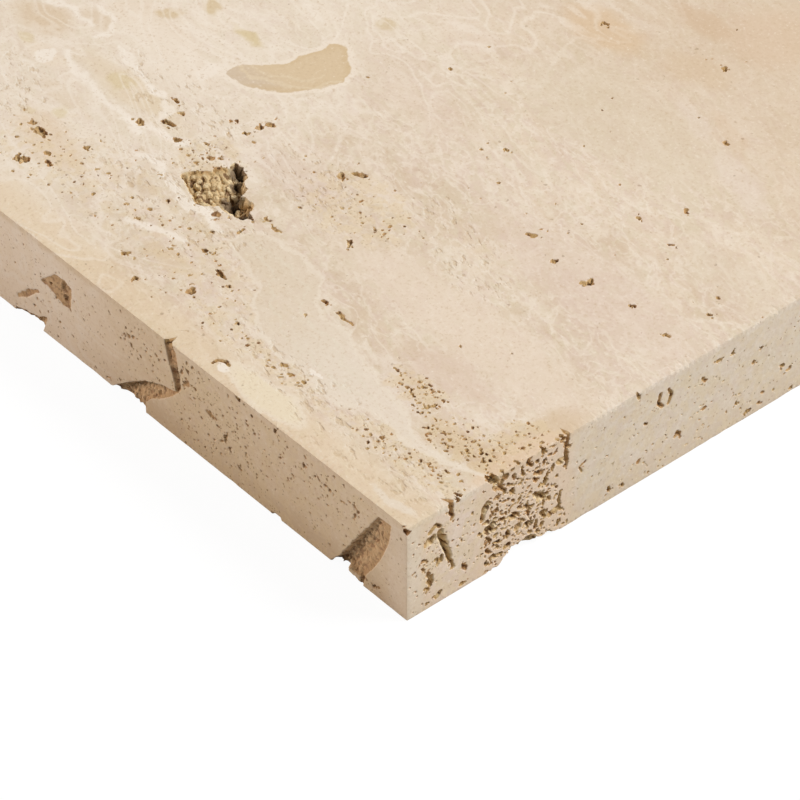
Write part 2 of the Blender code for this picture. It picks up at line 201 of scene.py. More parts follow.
def lumps(a, b, size, seed):
    """Smooth random relief from -1 to 1, its lumps about size across."""
    a, b = a / size, b / size
    column, row = np.floor(a).astype(np.int64), np.floor(b).astype(np.int64)
    across, up = a - column, b - row
    across, up = across * across * (3 - 2 * across), up * up * (3 - 2 * up)

    def throw(i, j):
        n = (i * 374761393 + j * 668265263 + seed * 1446649) & 0x7FFFFFFF
        n = ((n ^ (n >> 13)) * 1274126177) & 0x7FFFFFFF
        return ((n ^ (n >> 16)) & 0xFFFF) / 32767.5 - 1

    low = throw(column, row) * (1 - across) + throw(column + 1, row) * across
    high = throw(column, row + 1) * (1 - across) + throw(column + 1, row + 1) * across
    return low * (1 - up) + high * up


def layered(a, b, layers, seed, step=1, start=0.0):
    """Layers of lumps, each a height and a size, laid over start."""
    for n, (height, size) in enumerate(layers):
        start = start + height * lumps(a, b, size, seed + n * step)
    return start


class Carving:
    """How deep one face of the tile is cut, in mm, on a fine grid."""

    def __init__(self, face, seed):
        self.face = face
        across = np.arange(0, face.length + PIXEL, PIXEL)
        up = np.arange(0, face.height + PIXEL, PIXEL)
        a, b = np.meshgrid(across, up)
        self.plain_a, self.plain_b = a, b
        # Outlines are drawn on wandering lines, so that no rim is a clean oval
        self.a = layered(a, b, RIM_WANDER, seed, start=a)
        self.b = layered(a, b, RIM_WANDER, seed + 2, start=b)
        self.depth = np.zeros_like(a)
        self.seed = seed

    def window(self, a_low, a_high, b_low, b_high):
        columns = slice(max(int(a_low / PIXEL), 0), max(int(a_high / PIXEL) + 2, 0))
        rows = slice(max(int(b_low / PIXEL), 0), max(int(b_high / PIXEL) + 2, 0))
        return rows, columns

    def sink(self, where, depth):
        self.depth[where] = np.maximum(self.depth[where], depth)

    def void(self, void):
        """A hollow: one lobe if it is small, else a ragged few that overlap, with crumbs round them."""
        if void.length < LONE_LOBE:
            self.lobe(void)
            return
        chance = random.Random(f"{void.a:.2f} {void.b:.2f}")
        turn = math.radians(void.turn)
        lobes = min(2 + int(void.length * void.width), MOST_LOBES)
        for n in range(lobes + CRUMBS):
            crumb = n >= lobes
            reach = CRUMB_REACH if crumb else LOBE_REACH
            along = chance.uniform(-reach, reach) * void.length
            across = chance.uniform(-reach, reach) * void.width
            share = CRUMB_SHARE if crumb else chance.uniform(*LOBE_SHARES)
            self.lobe(
                Void(
                    void.a + along * math.cos(turn) - across * math.sin(turn),
                    void.b + along * math.sin(turn) + across * math.cos(turn),
                    max(void.length * share, SMALLEST_LOBE),
                    max(void.width * share * LOBE_WIDENING, SMALLEST_LOBE),
                    void.depth * (CRUMB_DEPTH if crumb else chance.uniform(*LOBE_DEPTHS)),
                    void.turn + chance.uniform(-LOBE_TURN, LOBE_TURN),
                )
            )

    def lobe(self, void):
        """A rounded hollow."""
        reach = max(void.length, void.width) / 2 + 1
        where = self.window(void.a - reach, void.a + reach, void.b - reach, void.b + reach)
        a, b = self.a[where] - void.a, self.b[where] - void.b
        turn = math.radians(void.turn)
        along = (a * math.cos(turn) + b * math.sin(turn)) / (void.length / 2)
        across = (b * math.cos(turn) - a * math.sin(turn)) / (void.width / 2)
        self.sink(where, void.depth * np.clip(1 - along**2 - across**2, 0, 1) ** STEEPNESS)

    def groove(self, line):
        """A slot along (a, b, width, depth) points."""
        for (a0, b0, w0, d0), (a1, b1, w1, d1) in zip(line, line[1:]):
            reach = max(w0, w1) / 2 + 1
            where = self.window(
                min(a0, a1) - reach, max(a0, a1) + reach, min(b0, b1) - reach, max(b0, b1) + reach
            )
            a, b = self.a[where] - a0, self.b[where] - b0
            run, rise = a1 - a0, b1 - b0
            share = np.clip((a * run + b * rise) / (run * run + rise * rise), 0, 1)
            aside = np.hypot(a - share * run, b - share * rise)
            width, depth = w0 + (w1 - w0) * share, d0 + (d1 - d0) * share
            self.sink(where, depth * np.sqrt(np.clip(1 - (2 * aside / width) ** 2, 0, 1)))

    def breakout(self, outline, ragged):
        """A broken-out patch whose floor follows the depths at the (a, b, depth) points of its outline."""
        points = np.array(outline)
        low, high = points.min(0), points.max(0)
        where = self.window(low[0] - 1, high[0] + 1, low[1] - 1, high[1] + 1)
        a, b = self.plain_a[where], self.plain_b[where]
        a, b = a + ragged * (self.a[where] - a), b + ragged * (self.b[where] - b)
        inside = np.zeros(a.shape, bool)
        total, weight = np.zeros_like(a), np.zeros_like(a)
        for (a0, b0, d0), (a1, b1, d1) in zip(outline, [*outline[1:], outline[0]]):
            crosses = (b0 > b) != (b1 > b)
            inside ^= crosses & (a < (a1 - a0) * (b - b0) / ((b1 - b0) or 1e-9) + a0)
            run, rise = a1 - a0, b1 - b0
            share = np.clip(((a - a0) * run + (b - b0) * rise) / (run * run + rise * rise), 0, 1)
            near = 1 / (np.hypot(a - a0 - share * run, b - b0 - share * rise) ** 2 + 0.05)
            total += near * (d0 + (d1 - d0) * share)
            weight += near
        rough = layered(a, b, BROKEN_FLOOR, self.seed + 5, start=1.0)
        self.sink(where, np.where(inside, total / weight * rough, 0))

    def crust(self, oval):
        """Lumps over the floor of what is cut inside an oval."""
        half, side = oval.length / 2, oval.width / 2
        where = self.window(oval.a - half, oval.a + half, oval.b - side, oval.b + side)
        a, b, depth = self.a[where], self.b[where], self.depth[where]
        off = np.hypot((a - oval.a) / half, (b - oval.b) / side)
        share = np.clip(LUMP_FADE * (1 - off), 0, 1)
        gap = 1 - knobs(np.stack((a, b, 0 * a), -1).reshape(-1, 3), LUMP_SPACING).reshape(a.shape)
        floor = np.maximum(depth + LUMP_HEIGHT * (gap - LUMP_MIDDLE) * share, 0.05)
        self.depth[where] = np.where(depth > LUMP_FLOOR, floor, depth)

    def soften(self):
        """Rounds the rims of what is cut so far."""
        for axis in (0, 1):
            spread = [(1, 1) if n == axis else (0, 0) for n in (0, 1)]
            wide = np.pad(self.depth, spread, "edge")
            low, high = (np.take(wide, range(n, n + self.depth.shape[axis]), axis) for n in (0, 2))
            self.depth = 0.5 * self.depth + 0.25 * (low + high)

    def roughen(self):
        """Small lumps on the walls and floors of everything cut so far."""
        self.depth *= 1 + layered(self.plain_a, self.plain_b, ROUGH_WALLS, self.seed + 8)

    def find_level(self):
        """The depth averaged over a few millimetres, to tell narrow holes from broad floors."""
        step = int(LEVEL_REACH / PIXEL)
        self.level = self.depth
        for axis in (0, 1):
            spread = [(step + 1, step) if n == axis else (0, 0) for n in (0, 1)]
            total = np.cumsum(np.pad(self.level, spread, "edge"), axis)
            high = np.take(total, range(2 * step + 1, total.shape[axis]), axis)
            low = np.take(total, range(total.shape[axis] - 2 * step - 1), axis)
            self.level = (high - low) / (2 * step + 1)

    def at(self, a, b, grid=None):
        """Depth at places, or another of the face's grids, between the grid's points."""
        grid = self.depth if grid is None else grid
        column = np.clip(a / PIXEL, 0, grid.shape[1] - 1.001)
        row = np.clip(b / PIXEL, 0, grid.shape[0] - 1.001)
        i, j = column.astype(int), row.astype(int)
        across, up = column - i, row - j
        low = grid[j, i] * (1 - across) + grid[j, i + 1] * across
        high = grid[j + 1, i] * (1 - across) + grid[j + 1, i + 1] * across
        return low * (1 - up) + high * up

    def broken(self, size):
        """Where the face isn't flat, on a grid of cells of this size, with the cells beside them."""
        step = max(int(round(size / PIXEL)), 1)
        edge = np.zeros(self.depth.shape, bool)
        edge[:, 1:] |= np.abs(np.diff(self.depth, axis=1)) > BROKEN_STEP
        edge[1:, :] |= np.abs(np.diff(self.depth, axis=0)) > BROKEN_STEP
        rows, columns = -(-edge.shape[0] // step), -(-edge.shape[1] // step)
        padded = np.zeros((rows * step, columns * step), bool)
        padded[: edge.shape[0], : edge.shape[1]] = edge
        cells = padded.reshape(rows, step, columns, step).any(axis=(1, 3))
        grown = np.pad(cells, 1)
        return (
            grown[1:-1, 1:-1] | grown[:-2, 1:-1] | grown[2:, 1:-1] | grown[1:-1, :-2] | grown[1:-1, 2:]
        )


# The large vug of the top face: (a, b, depth) round its rim, deepest behind the edge away from the front
VUG_RIM = (
    (137.6, 43.4, 2.4), (134.0, 42.4, 2.8), (130.0, 40.8, 2.8), (127.0, 39.2, 2.2), (125.6, 39.2, 1.8),
    (123.8, 41.0, 2.2), (121.4, 42.9, 3.0), (117.6, 42.9, 3.6), (113.2, 44.2, 3.6), (114.6, 46.6, 4.2),
    (116.0, 49.4, 3.6), (118.6, 49.9, 4.0), (120.6, 49.0, 4.4), (122.2, 52.6, 4.2), (124.0, 52.6, 4.0),
    (126.0, 55.2, 3.6), (129.6, 56.9, 3.2), (132.0, 56.6, 2.2), (131.2, 54.2, 0.9), (133.6, 53.2, 0.4),
    (134.6, 51.8, 0.4), (133.4, 50.0, 0.6), (135.4, 48.0, 0.5), (136.8, 46.0, 0.6),
)  # fmt: skip
# Crevices under its rims and between its lumps: (a, b, width, depth)
VUG_CREVICES = (
    ((136.6, 43.8, 1.4, 3.6), (131.6, 42.2, 1.3, 4.4), (127.0, 40.4, 1.4, 4.0)),
    ((120.8, 46.2, 3.0, 7.6), (123.8, 50.0, 2.8, 7.4)),
    ((114.2, 44.8, 1.8, 6.2), (116.4, 46.4, 2.0, 6.4)),
    ((126.6, 52.6, 1.7, 5.6), (128.4, 53.8, 1.5, 5.2)),
    ((129.8, 55.4, 1.7, 4.6), (131.0, 56.2, 1.5, 4.4)),
)
# The lumps of its floor reach this far
VUG_CRUST = Void(130.0, 49.0, 34.0, 21.0, 0, 0)
# Its porous fringe, which is cut to a share of these depths
FRINGE_DEPTH = 0.6
VUG_FRINGE = (
    Void(135.6, 54.9, 1.8, 1.1, 1.4, 0),
    Void(133.8, 51.9, 1.6, 0.9, 1.6, 0),
    Void(139.2, 49.6, 1.6, 1.0, 1.2, -20),
    Void(139.0, 51.8, 1.6, 0.9, 1.0, 0),
    Void(142.8, 56.4, 1.8, 0.8, 1.0, 0),
    Void(137.6, 54.0, 2.2, 1.6, 1.2, 0),
    Void(112.6, 46.0, 2.2, 1.2, 1.6, 10),
    Void(117.6, 49.3, 2.0, 0.9, 2.4, 20),
    Void(119.4, 40.2, 2.4, 1.8, 1.0, -10),
    Void(116.2, 41.8, 1.2, 0.9, 0.9, 0),
    Void(110.2, 41.3, 1.0, 1.1, 1.4, 0),
    Void(110.0, 40.0, 0.9, 1.4, 1.4, 0),
)

# Single hollows of the top: (a, b, length, width), some with a turn
TOP_VOIDS = (
    (162.0, 61.5, 2.4, 1.6), (156.6, 59.5, 2.0, 1.4), (155.5, 54.2, 4.0, 1.9, -10), (149.4, 52.0, 2.4, 1.6),
    (161.0, 48.8, 3.4, 1.4, 10), (138.4, 73.4, 1.6, 2.2, 20), (139.6, 71.0, 2.0, 1.6),
    (139.7, 66.9, 1.6, 1.2), (145.1, 68.2, 1.8, 1.2), (107.6, 77.9, 3.4, 1.7, -35),
    (110.2, 73.8, 2.8, 1.5, 10), (88.6, 58.0, 3.4, 1.3, 30), (109.4, 48.2, 3.0, 1.0, 5),
    (105.0, 47.4, 3.4, 0.9, -8), (174.5, 27.4, 4.6, 1.6, -8), (179.0, 28.2, 2.2, 1.4),
    (162.0, 32.4, 2.0, 1.6), (166.8, 23.0, 2.8, 1.3, -15), (163.2, 21.0, 2.6, 1.4),
    (168.9, 16.9, 4.2, 1.9, -12), (100.6, 26.2, 3.2, 1.8, -15), (110.0, 29.0, 1.8, 1.3),
    (95.8, 24.3, 2.2, 1.2, -20), (99.9, 16.2, 2.6, 1.6, 20), (83.6, 17.2, 1.8, 1.2), (113.4, 8.8, 1.7, 1.2),
    (122.2, 13.5, 2.0, 1.2, -20), (68.0, 38.3, 5.2, 1.0, 4), (75.2, 38.5, 2.4, 1.0), (74.9, 32.0, 1.0, 1.0),
    (64.0, 15.8, 2.2, 1.1, -10), (60.0, 14.9, 1.8, 1.0), (61.4, 94.6, 3.2, 1.2, -15),
    (50.5, 91.9, 1.6, 1.3), (38.6, 92.3, 1.8, 2.8, 15), (24.9, 94.9, 1.8, 1.2), (11.4, 93.5, 1.8, 1.2),
    (10.0, 106.8, 1.6, 1.2), (35.7, 118.0, 1.3, 1.2), (49.2, 119.2, 2.6, 0.9, 35), (91.1, 112.8, 2.0, 1.4),
    (56.0, 156.8, 2.2, 1.3), (43.1, 130.1, 1.5, 1.1), (79.6, 178.0, 2.0, 1.4), (113.8, 167.6, 2.2, 1.4),
)  # fmt: skip

# The pits of the spongy band that runs across the top to the right face: (a, b, length, width)
BAND_PITS = (
    (45.2, 35.5, 1.7, 0.9), (43.8, 35.3, 1.1, 0.8), (42.6, 34.9, 0.9, 0.6), (40.6, 34.2, 0.8, 0.6),
    (37.5, 36.5, 1.3, 0.8), (36.0, 36.0, 0.7, 0.8), (35.2, 36.3, 0.6, 0.8), (36.2, 34.8, 1.3, 0.6),
    (35.0, 37.7, 0.9, 0.6), (33.8, 36.9, 0.9, 0.6), (32.8, 36.3, 0.8, 1.1), (31.9, 37.5, 0.8, 0.6),
    (30.9, 38.4, 0.8, 0.6), (30.4, 35.9, 1.3, 0.7), (28.8, 36.2, 1.0, 0.7), (27.5, 36.8, 0.8, 0.6),
    (33.1, 34.5, 0.8, 0.8), (28.5, 34.2, 1.3, 0.9), (38.3, 33.1, 1.0, 0.9), (36.9, 33.0, 1.3, 0.8),
    (35.4, 32.5, 1.0, 0.8), (34.5, 32.2, 0.9, 0.9), (39.8, 33.0, 1.1, 0.9), (31.6, 31.4, 1.2, 0.8),
    (30.3, 31.5, 1.3, 0.9), (29.2, 32.2, 1.2, 1.2), (28.6, 33.1, 1.0, 0.9), (32.7, 30.1, 1.1, 0.8),
    (29.6, 28.9, 1.3, 0.8), (28.7, 29.6, 0.9, 0.7), (27.8, 31.1, 0.6, 0.8), (24.0, 27.0, 0.8, 1.0),
    (24.4, 26.3, 0.9, 0.6), (22.6, 27.6, 0.9, 0.7), (23.6, 28.5, 1.0, 0.6), (22.0, 25.8, 1.3, 0.8),
    (21.6, 25.0, 0.9, 0.5), (20.0, 24.6, 1.1, 0.7), (20.3, 28.8, 1.2, 0.8), (19.2, 28.7, 1.0, 0.8),
    (18.8, 29.6, 0.7, 1.0), (18.4, 26.9, 0.7, 0.9), (16.8, 28.3, 1.1, 0.7), (15.9, 26.3, 1.5, 0.9),
    (14.9, 26.8, 0.9, 0.6), (15.0, 31.0, 0.8, 1.0), (16.2, 31.4, 0.9, 0.5), (14.6, 25.0, 0.9, 0.8),
    (16.7, 35.2, 0.8, 0.6), (16.7, 33.6, 0.7, 0.6), (12.8, 35.3, 1.0, 0.7), (13.0, 32.3, 0.7, 1.2),
    (11.1, 32.3, 0.8, 0.9), (10.3, 34.8, 1.0, 0.6), (11.6, 28.9, 1.0, 1.3), (12.2, 27.3, 1.2, 0.8),
    (10.2, 28.9, 1.2, 0.7), (10.0, 27.8, 1.0, 0.6), (9.6, 31.4, 1.0, 0.8), (8.8, 30.5, 0.9, 1.2),
    (9.0, 28.6, 0.9, 0.5), (8.6, 36.3, 1.2, 0.7), (7.1, 36.0, 0.9, 0.5), (7.5, 33.4, 1.0, 0.8),
    (7.8, 31.2, 0.9, 0.7), (6.7, 29.6, 1.2, 1.1), (6.0, 29.0, 0.9, 0.6), (5.8, 32.3, 0.7, 0.8),
    (5.3, 30.4, 0.8, 0.8), (4.6, 28.9, 0.7, 1.1), (3.7, 27.8, 0.8, 0.6), (3.6, 39.2, 1.1, 1.0),
    (3.4, 41.3, 0.7, 1.1), (1.6, 34.6, 0.8, 0.9), (0.8, 26.8, 1.8, 1.2), (0.9, 16.9, 1.5, 1.0),
    (13.8, 18.9, 0.9, 0.7), (12.6, 18.5, 1.3, 0.7), (11.4, 17.9, 1.3, 0.7), (10.5, 16.8, 1.3, 0.6),
    (9.0, 18.1, 1.2, 0.6), (8.6, 17.0, 0.9, 0.5), (7.1, 16.8, 0.9, 0.5), (9.0, 20.3, 1.2, 0.8),
    (6.6, 21.7, 0.9, 0.6), (4.3, 20.8, 0.6, 0.8), (19.5, 19.4, 1.2, 0.6), (28.3, 16.4, 1.7, 0.8),
    (27.6, 15.0, 0.9, 0.6), (30.8, 15.3, 0.9, 0.6), (29.1, 13.2, 0.9, 0.9), (26.8, 13.2, 0.9, 0.7),
    (34.3, 13.8, 0.7, 0.6), (35.4, 18.1, 0.8, 0.5), (1.6, 44.2, 1.6, 0.8), (0.6, 42.6, 1.2, 0.8),
)  # fmt: skip

# How deep these single hollows are, against their width
TOP_DEEP, FRONT_DEEP, RIGHT_DEEP = 0.8, 0.8, 0.95
# A crescent crack beside a white spot: (a, b, width, depth)
TOP_GROOVES = (((75.9, 3.2, 0.6, 0.9), (75.8, 4.8, 0.9, 1.3), (74.4, 5.8, 0.9, 1.3), (72.4, 5.7, 0.6, 0.8)),)

# Single hollows of the front, in the same way
FRONT_VOIDS = (
    (131.2, 20.6, 2.4, 2.4, -12), (130.2, 17.2, 2.0, 2.4, 10), (132.6, 18.8, 1.2, 1.4),
    (135.6, 18.4, 2.4, 1.3, 10), (138.8, 17.2, 1.4, 1.3), (134.2, 21.4, 1.3, 1.1), (128.2, 21.8, 1.2, 1.0),
    (133.6, 15.6, 1.3, 1.0), (83.9, 23.6, 0.9, 1.8), (82.6, 22.5, 0.9, 0.9), (81.4, 25.1, 1.7, 0.9),
    (82.2, 21.0, 3.6, 1.2, -30), (79.5, 27.6, 0.9, 0.8), (81.9, 27.8, 0.7, 0.6), (78.7, 21.3, 1.0, 0.7),
    (80.6, 17.0, 1.1, 0.6), (91.8, 24.8, 1.0, 0.6), (90.2, 22.8, 0.8, 0.8), (93.8, 22.4, 0.9, 0.7),
    (92.9, 21.4, 0.6, 0.9), (98.5, 23.1, 0.9, 0.6), (98.5, 26.8, 1.3, 0.6), (103.5, 19.0, 1.1, 0.7),
    (106.5, 19.8, 1.1, 0.7), (106.4, 21.2, 1.3, 0.7), (104.3, 21.8, 1.3, 0.8), (102.9, 22.6, 1.6, 1.0),
    (108.2, 19.2, 0.8, 0.6), (100.4, 17.8, 0.6, 1.1), (84.5, 7.5, 1.1, 0.9), (81.5, 10.0, 0.7, 0.6),
    (109.0, 4.4, 0.8, 0.6), (114.0, 2.2, 1.3, 0.6), (93.9, 9.9, 3.2, 1.8, -50), (96.8, 7.9, 1.1, 0.8, -30),
    (98.2, 9.8, 1.2, 0.7, -20), (100.3, 3.0, 1.5, 2.2, -20), (72.4, 17.0, 3.8, 1.1, -10),
    (70.2, 15.0, 1.3, 0.9), (67.5, 12.6, 1.2, 2.4), (65.6, 10.4, 1.1, 1.1), (61.7, 6.8, 1.4, 1.4),
    (62.5, 29.4, 2.4, 1.1), (47.9, 28.2, 1.6, 1.2), (37.3, 24.4, 1.1, 1.2), (37.0, 27.6, 1.1, 0.7),
    (33.4, 23.6, 0.8, 0.8), (31.8, 23.6, 0.7, 0.8), (30.1, 23.3, 1.3, 0.9), (27.9, 23.0, 1.0, 1.0),
    (25.8, 24.0, 0.9, 0.6), (23.2, 22.4, 1.7, 0.9), (21.2, 23.8, 1.0, 0.7), (18.9, 24.0, 1.1, 1.3),
    (17.7, 22.8, 0.9, 1.1), (18.8, 21.0, 0.8, 1.6), (31.4, 21.8, 0.8, 0.7), (28.8, 20.4, 0.8, 0.6),
    (42.0, 17.9, 1.1, 0.8), (46.4, 20.7, 0.9, 0.7), (51.4, 11.3, 1.0, 0.7), (59.0, 23.3, 1.0, 0.6),
    (56.2, 22.0, 0.6, 1.2), (32.2, 17.4, 0.7, 0.7), (12.0, 3.0, 1.7, 1.2), (10.2, 3.6, 0.9, 0.9),
    (0.8, 28.9, 1.4, 2.0),
)  # fmt: skip

# Single hollows of the right face
RIGHT_VOIDS = (
    (6.9, 21.8, 3.0, 2.5), (5.2, 16.3, 1.6, 1.3), (5.2, 13.8, 1.4, 1.3), (10.3, 13.8, 1.8, 2.4),
    (7.3, 9.1, 1.9, 3.8, -15), (6.2, 6.6, 1.3, 1.6), (18.3, 6.6, 3.4, 1.2, -40), (9.0, 2.8, 3.8, 1.1),
    (6.1, 2.2, 1.2, 1.0), (17.9, 1.7, 2.0, 1.2), (16.2, 29.6, 1.8, 1.6), (87.4, 8.7, 2.6, 1.3, -25),
    (74.7, 7.3, 1.2, 1.0), (64.9, 3.6, 1.6, 1.8), (69.2, 2.8, 1.4, 1.2), (76.8, 18.4, 1.2, 1.0),
    (101.0, 25.2, 2.0, 1.2), (105.2, 24.8, 1.4, 1.1), (95.9, 21.4, 1.4, 1.3), (96.3, 12.1, 1.4, 1.1),
    (113.3, 17.6, 1.4, 1.2), (115.4, 21.0, 1.4, 1.1), (123.0, 10.8, 1.8, 1.3), (125.5, 8.4, 1.5, 1.2),
    (107.7, 7.2, 1.4, 1.1), (111.6, 1.9, 2.6, 1.5), (115.8, 2.8, 1.5, 1.1), (126.8, 1.5, 1.8, 1.2),
)  # fmt: skip

# The cells of the sponge in the right face
SPONGE_CELLS = (
    (27.2, 28.8, 1.7, 2.6, 20), (28.2, 26.2, 3.0, 1.1, -25), (29.4, 27.2, 1.0, 1.2), (30.6, 28.2, 1.3, 1.4),
    (33.8, 26.9, 1.8, 1.2, -20), (33.0, 29.0, 0.8, 0.8), (36.5, 25.9, 1.4, 0.9, -30),
    (32.8, 24.5, 1.0, 1.0), (31.7, 24.9, 0.7, 1.0), (30.8, 23.9, 1.0, 1.5, 30), (33.0, 22.3, 1.5, 1.3),
    (35.5, 23.3, 0.9, 1.2), (29.2, 23.0, 1.1, 0.7, -20), (27.4, 23.0, 1.2, 1.2),
    (30.5, 20.7, 1.2, 0.8, -25), (31.8, 20.3, 1.2, 0.8, -25), (28.0, 18.8, 1.4, 1.1),
    (27.6, 16.5, 1.0, 0.9), (25.2, 16.8, 1.4, 1.2), (26.6, 13.8, 3.2, 2.6, -10), (30.2, 15.0, 1.2, 1.2),
    (30.7, 13.3, 1.1, 0.8, -20), (32.5, 17.2, 1.2, 1.0), (35.2, 18.2, 0.9, 1.5), (35.7, 15.6, 0.9, 0.9),
    (38.2, 14.2, 1.8, 1.1, -10), (38.9, 18.4, 1.1, 0.8), (34.2, 13.5, 2.2, 1.5, -20),
    (38.5, 12.2, 1.1, 1.5), (28.5, 11.2, 1.2, 1.0), (25.6, 10.8, 1.2, 1.9), (24.5, 9.8, 1.1, 0.7),
    (22.8, 14.2, 1.1, 0.9, -30), (35.0, 9.2, 2.6, 1.2, -8), (38.7, 8.3, 1.9, 1.5, 15),
    (43.1, 9.3, 1.3, 2.7, 25), (46.5, 7.5, 4.0, 1.1, 18), (36.5, 10.5, 2.3, 0.7, -30),
    (25.6, 7.2, 1.4, 1.4), (28.5, 8.5, 1.2, 1.1), (28.6, 6.6, 1.0, 0.9), (31.5, 6.2, 1.3, 1.4),
    (32.0, 9.0, 1.3, 1.3), (27.2, 4.2, 1.6, 1.9), (29.8, 4.3, 1.4, 1.1), (41.0, 6.6, 0.9, 1.7),
    (42.8, 5.5, 0.9, 0.9), (39.2, 5.6, 1.5, 0.9, -30), (41.8, 4.4, 1.4, 1.0), (48.7, 3.1, 1.0, 1.7, -15),
    (50.3, 1.6, 0.9, 0.7), (42.0, 15.4, 2.4, 2.2), (43.7, 14.3, 1.9, 1.4, -20), (45.5, 12.8, 1.0, 1.4),
    (43.2, 12.6, 1.0, 1.2), (40.3, 17.0, 0.9, 1.1), (44.6, 17.2, 1.3, 0.7), (46.8, 16.1, 1.0, 0.7),
    (43.3, 19.2, 1.8, 1.5, -15), (42.0, 18.7, 0.8, 0.8), (47.4, 18.6, 0.8, 0.8), (40.3, 21.2, 1.4, 1.4),
    (44.5, 20.9, 1.0, 1.2), (46.2, 21.7, 0.9, 1.9), (41.3, 23.3, 2.0, 1.2, -25), (43.0, 22.8, 0.8, 0.9),
    (41.3, 25.0, 1.1, 1.2), (43.6, 25.9, 1.4, 0.9, 20), (44.9, 27.0, 1.1, 0.9), (38.5, 27.2, 1.0, 1.5, 25),
    (38.4, 29.2, 1.0, 1.2), (43.0, 29.0, 1.1, 1.5), (41.2, 27.0, 0.7, 0.8), (46.7, 26.5, 1.0, 0.8),
    (48.8, 22.9, 2.6, 1.4, -22), (51.5, 26.1, 1.2, 0.9), (49.0, 29.2, 1.4, 1.2), (49.6, 27.4, 0.9, 1.5),
    (50.0, 20.5, 0.9, 1.4), (44.4, 24.3, 0.9, 0.6),
)  # fmt: skip
# How deep the cells are against their width, and how much larger they are cut
SPONGE_DEPTH = 1.5
CELL_GROWTH = 1.25
# Its smaller cells: (a from, a to, b from, b to, how many, smallest, largest)
SPONGE_PITS = (
    (23, 34, -2, 32, 190, 0.6, 1.6),
    (24, 52, -2, 32, 240, 0.5, 1.3),
    (24, 52, -2, 14, 160, 0.5, 1.4),
    (33, 40, 14, 28, 20, 0.5, 0.8),
)

RIGHT_GROOVES = (
    # Stem moulds, cut lengthwise
    ((10.3, 22.8, 1.7, 2.6), (12.4, 15.8, 1.5, 2.8), (14.5, 9.0, 0.6, 1.2)),
    ((7.0, 24.4, 0.9, 1.0), (8.6, 25.6, 1.0, 1.2), (10.4, 24.6, 0.9, 1.0)),
    ((25.3, 22.8, 1.5, 2.2), (24.2, 21.3, 1.5, 2.8), (23.5, 18.4, 1.2, 2.0)),
    ((13.4, 29.8, 1.2, 1.4), (14.0, 25.0, 0.9, 1.0)),
    # The crack that ends the sponge
    ((50.8, 30.0, 0.7, 1.2), (50.4, 25.0, 0.9, 1.6), (50.6, 20.0, 0.7, 1.0)),
    ((48.8, 13.0, 0.6, 1.0), (48.4, 8.0, 0.7, 1.2)),
    ((73.6, 30.0, 0.6, 0.8), (74.2, 27.4, 0.5, 0.7)),
    ((56.6, 18.0, 0.5, 0.8), (55.0, 16.8, 0.6, 0.8), (55.8, 15.2, 0.5, 0.7)),
    # The ring that a reed left
    ((81.4, 25.4, 0.7, 0.9), (80.8, 22.8, 0.8, 1.0), (82.0, 20.6, 0.7, 0.9)),
    ((83.6, 25.6, 0.6, 0.8), (84.8, 23.4, 0.8, 1.0), (84.2, 21.0, 0.7, 0.9)),
)

RIGHT_BREAKOUTS = (
    # The bottom edge, eaten away under the sponge
    (
        (26.0, -1.0, 0.6), (27.3, 0.9, 1.0), (28.4, 0.1, 0.6), (29.6, 0.2, 0.8), (31.2, 1.9, 2.2),
        (32.4, 2.2, 2.4), (32.9, 3.4, 2.8), (34.4, 3.9, 3.0), (37.8, 3.7, 3.0), (39.1, 4.3, 3.0),
        (40.4, 3.2, 2.6), (41.8, 1.7, 2.0), (43.2, 1.1, 1.6), (44.6, 1.2, 1.6), (45.4, 2.3, 1.8),
        (46.4, 1.0, 1.4), (48.6, 0.3, 0.8), (49.7, -1.0, 0.6),
    ),
)  # fmt: skip

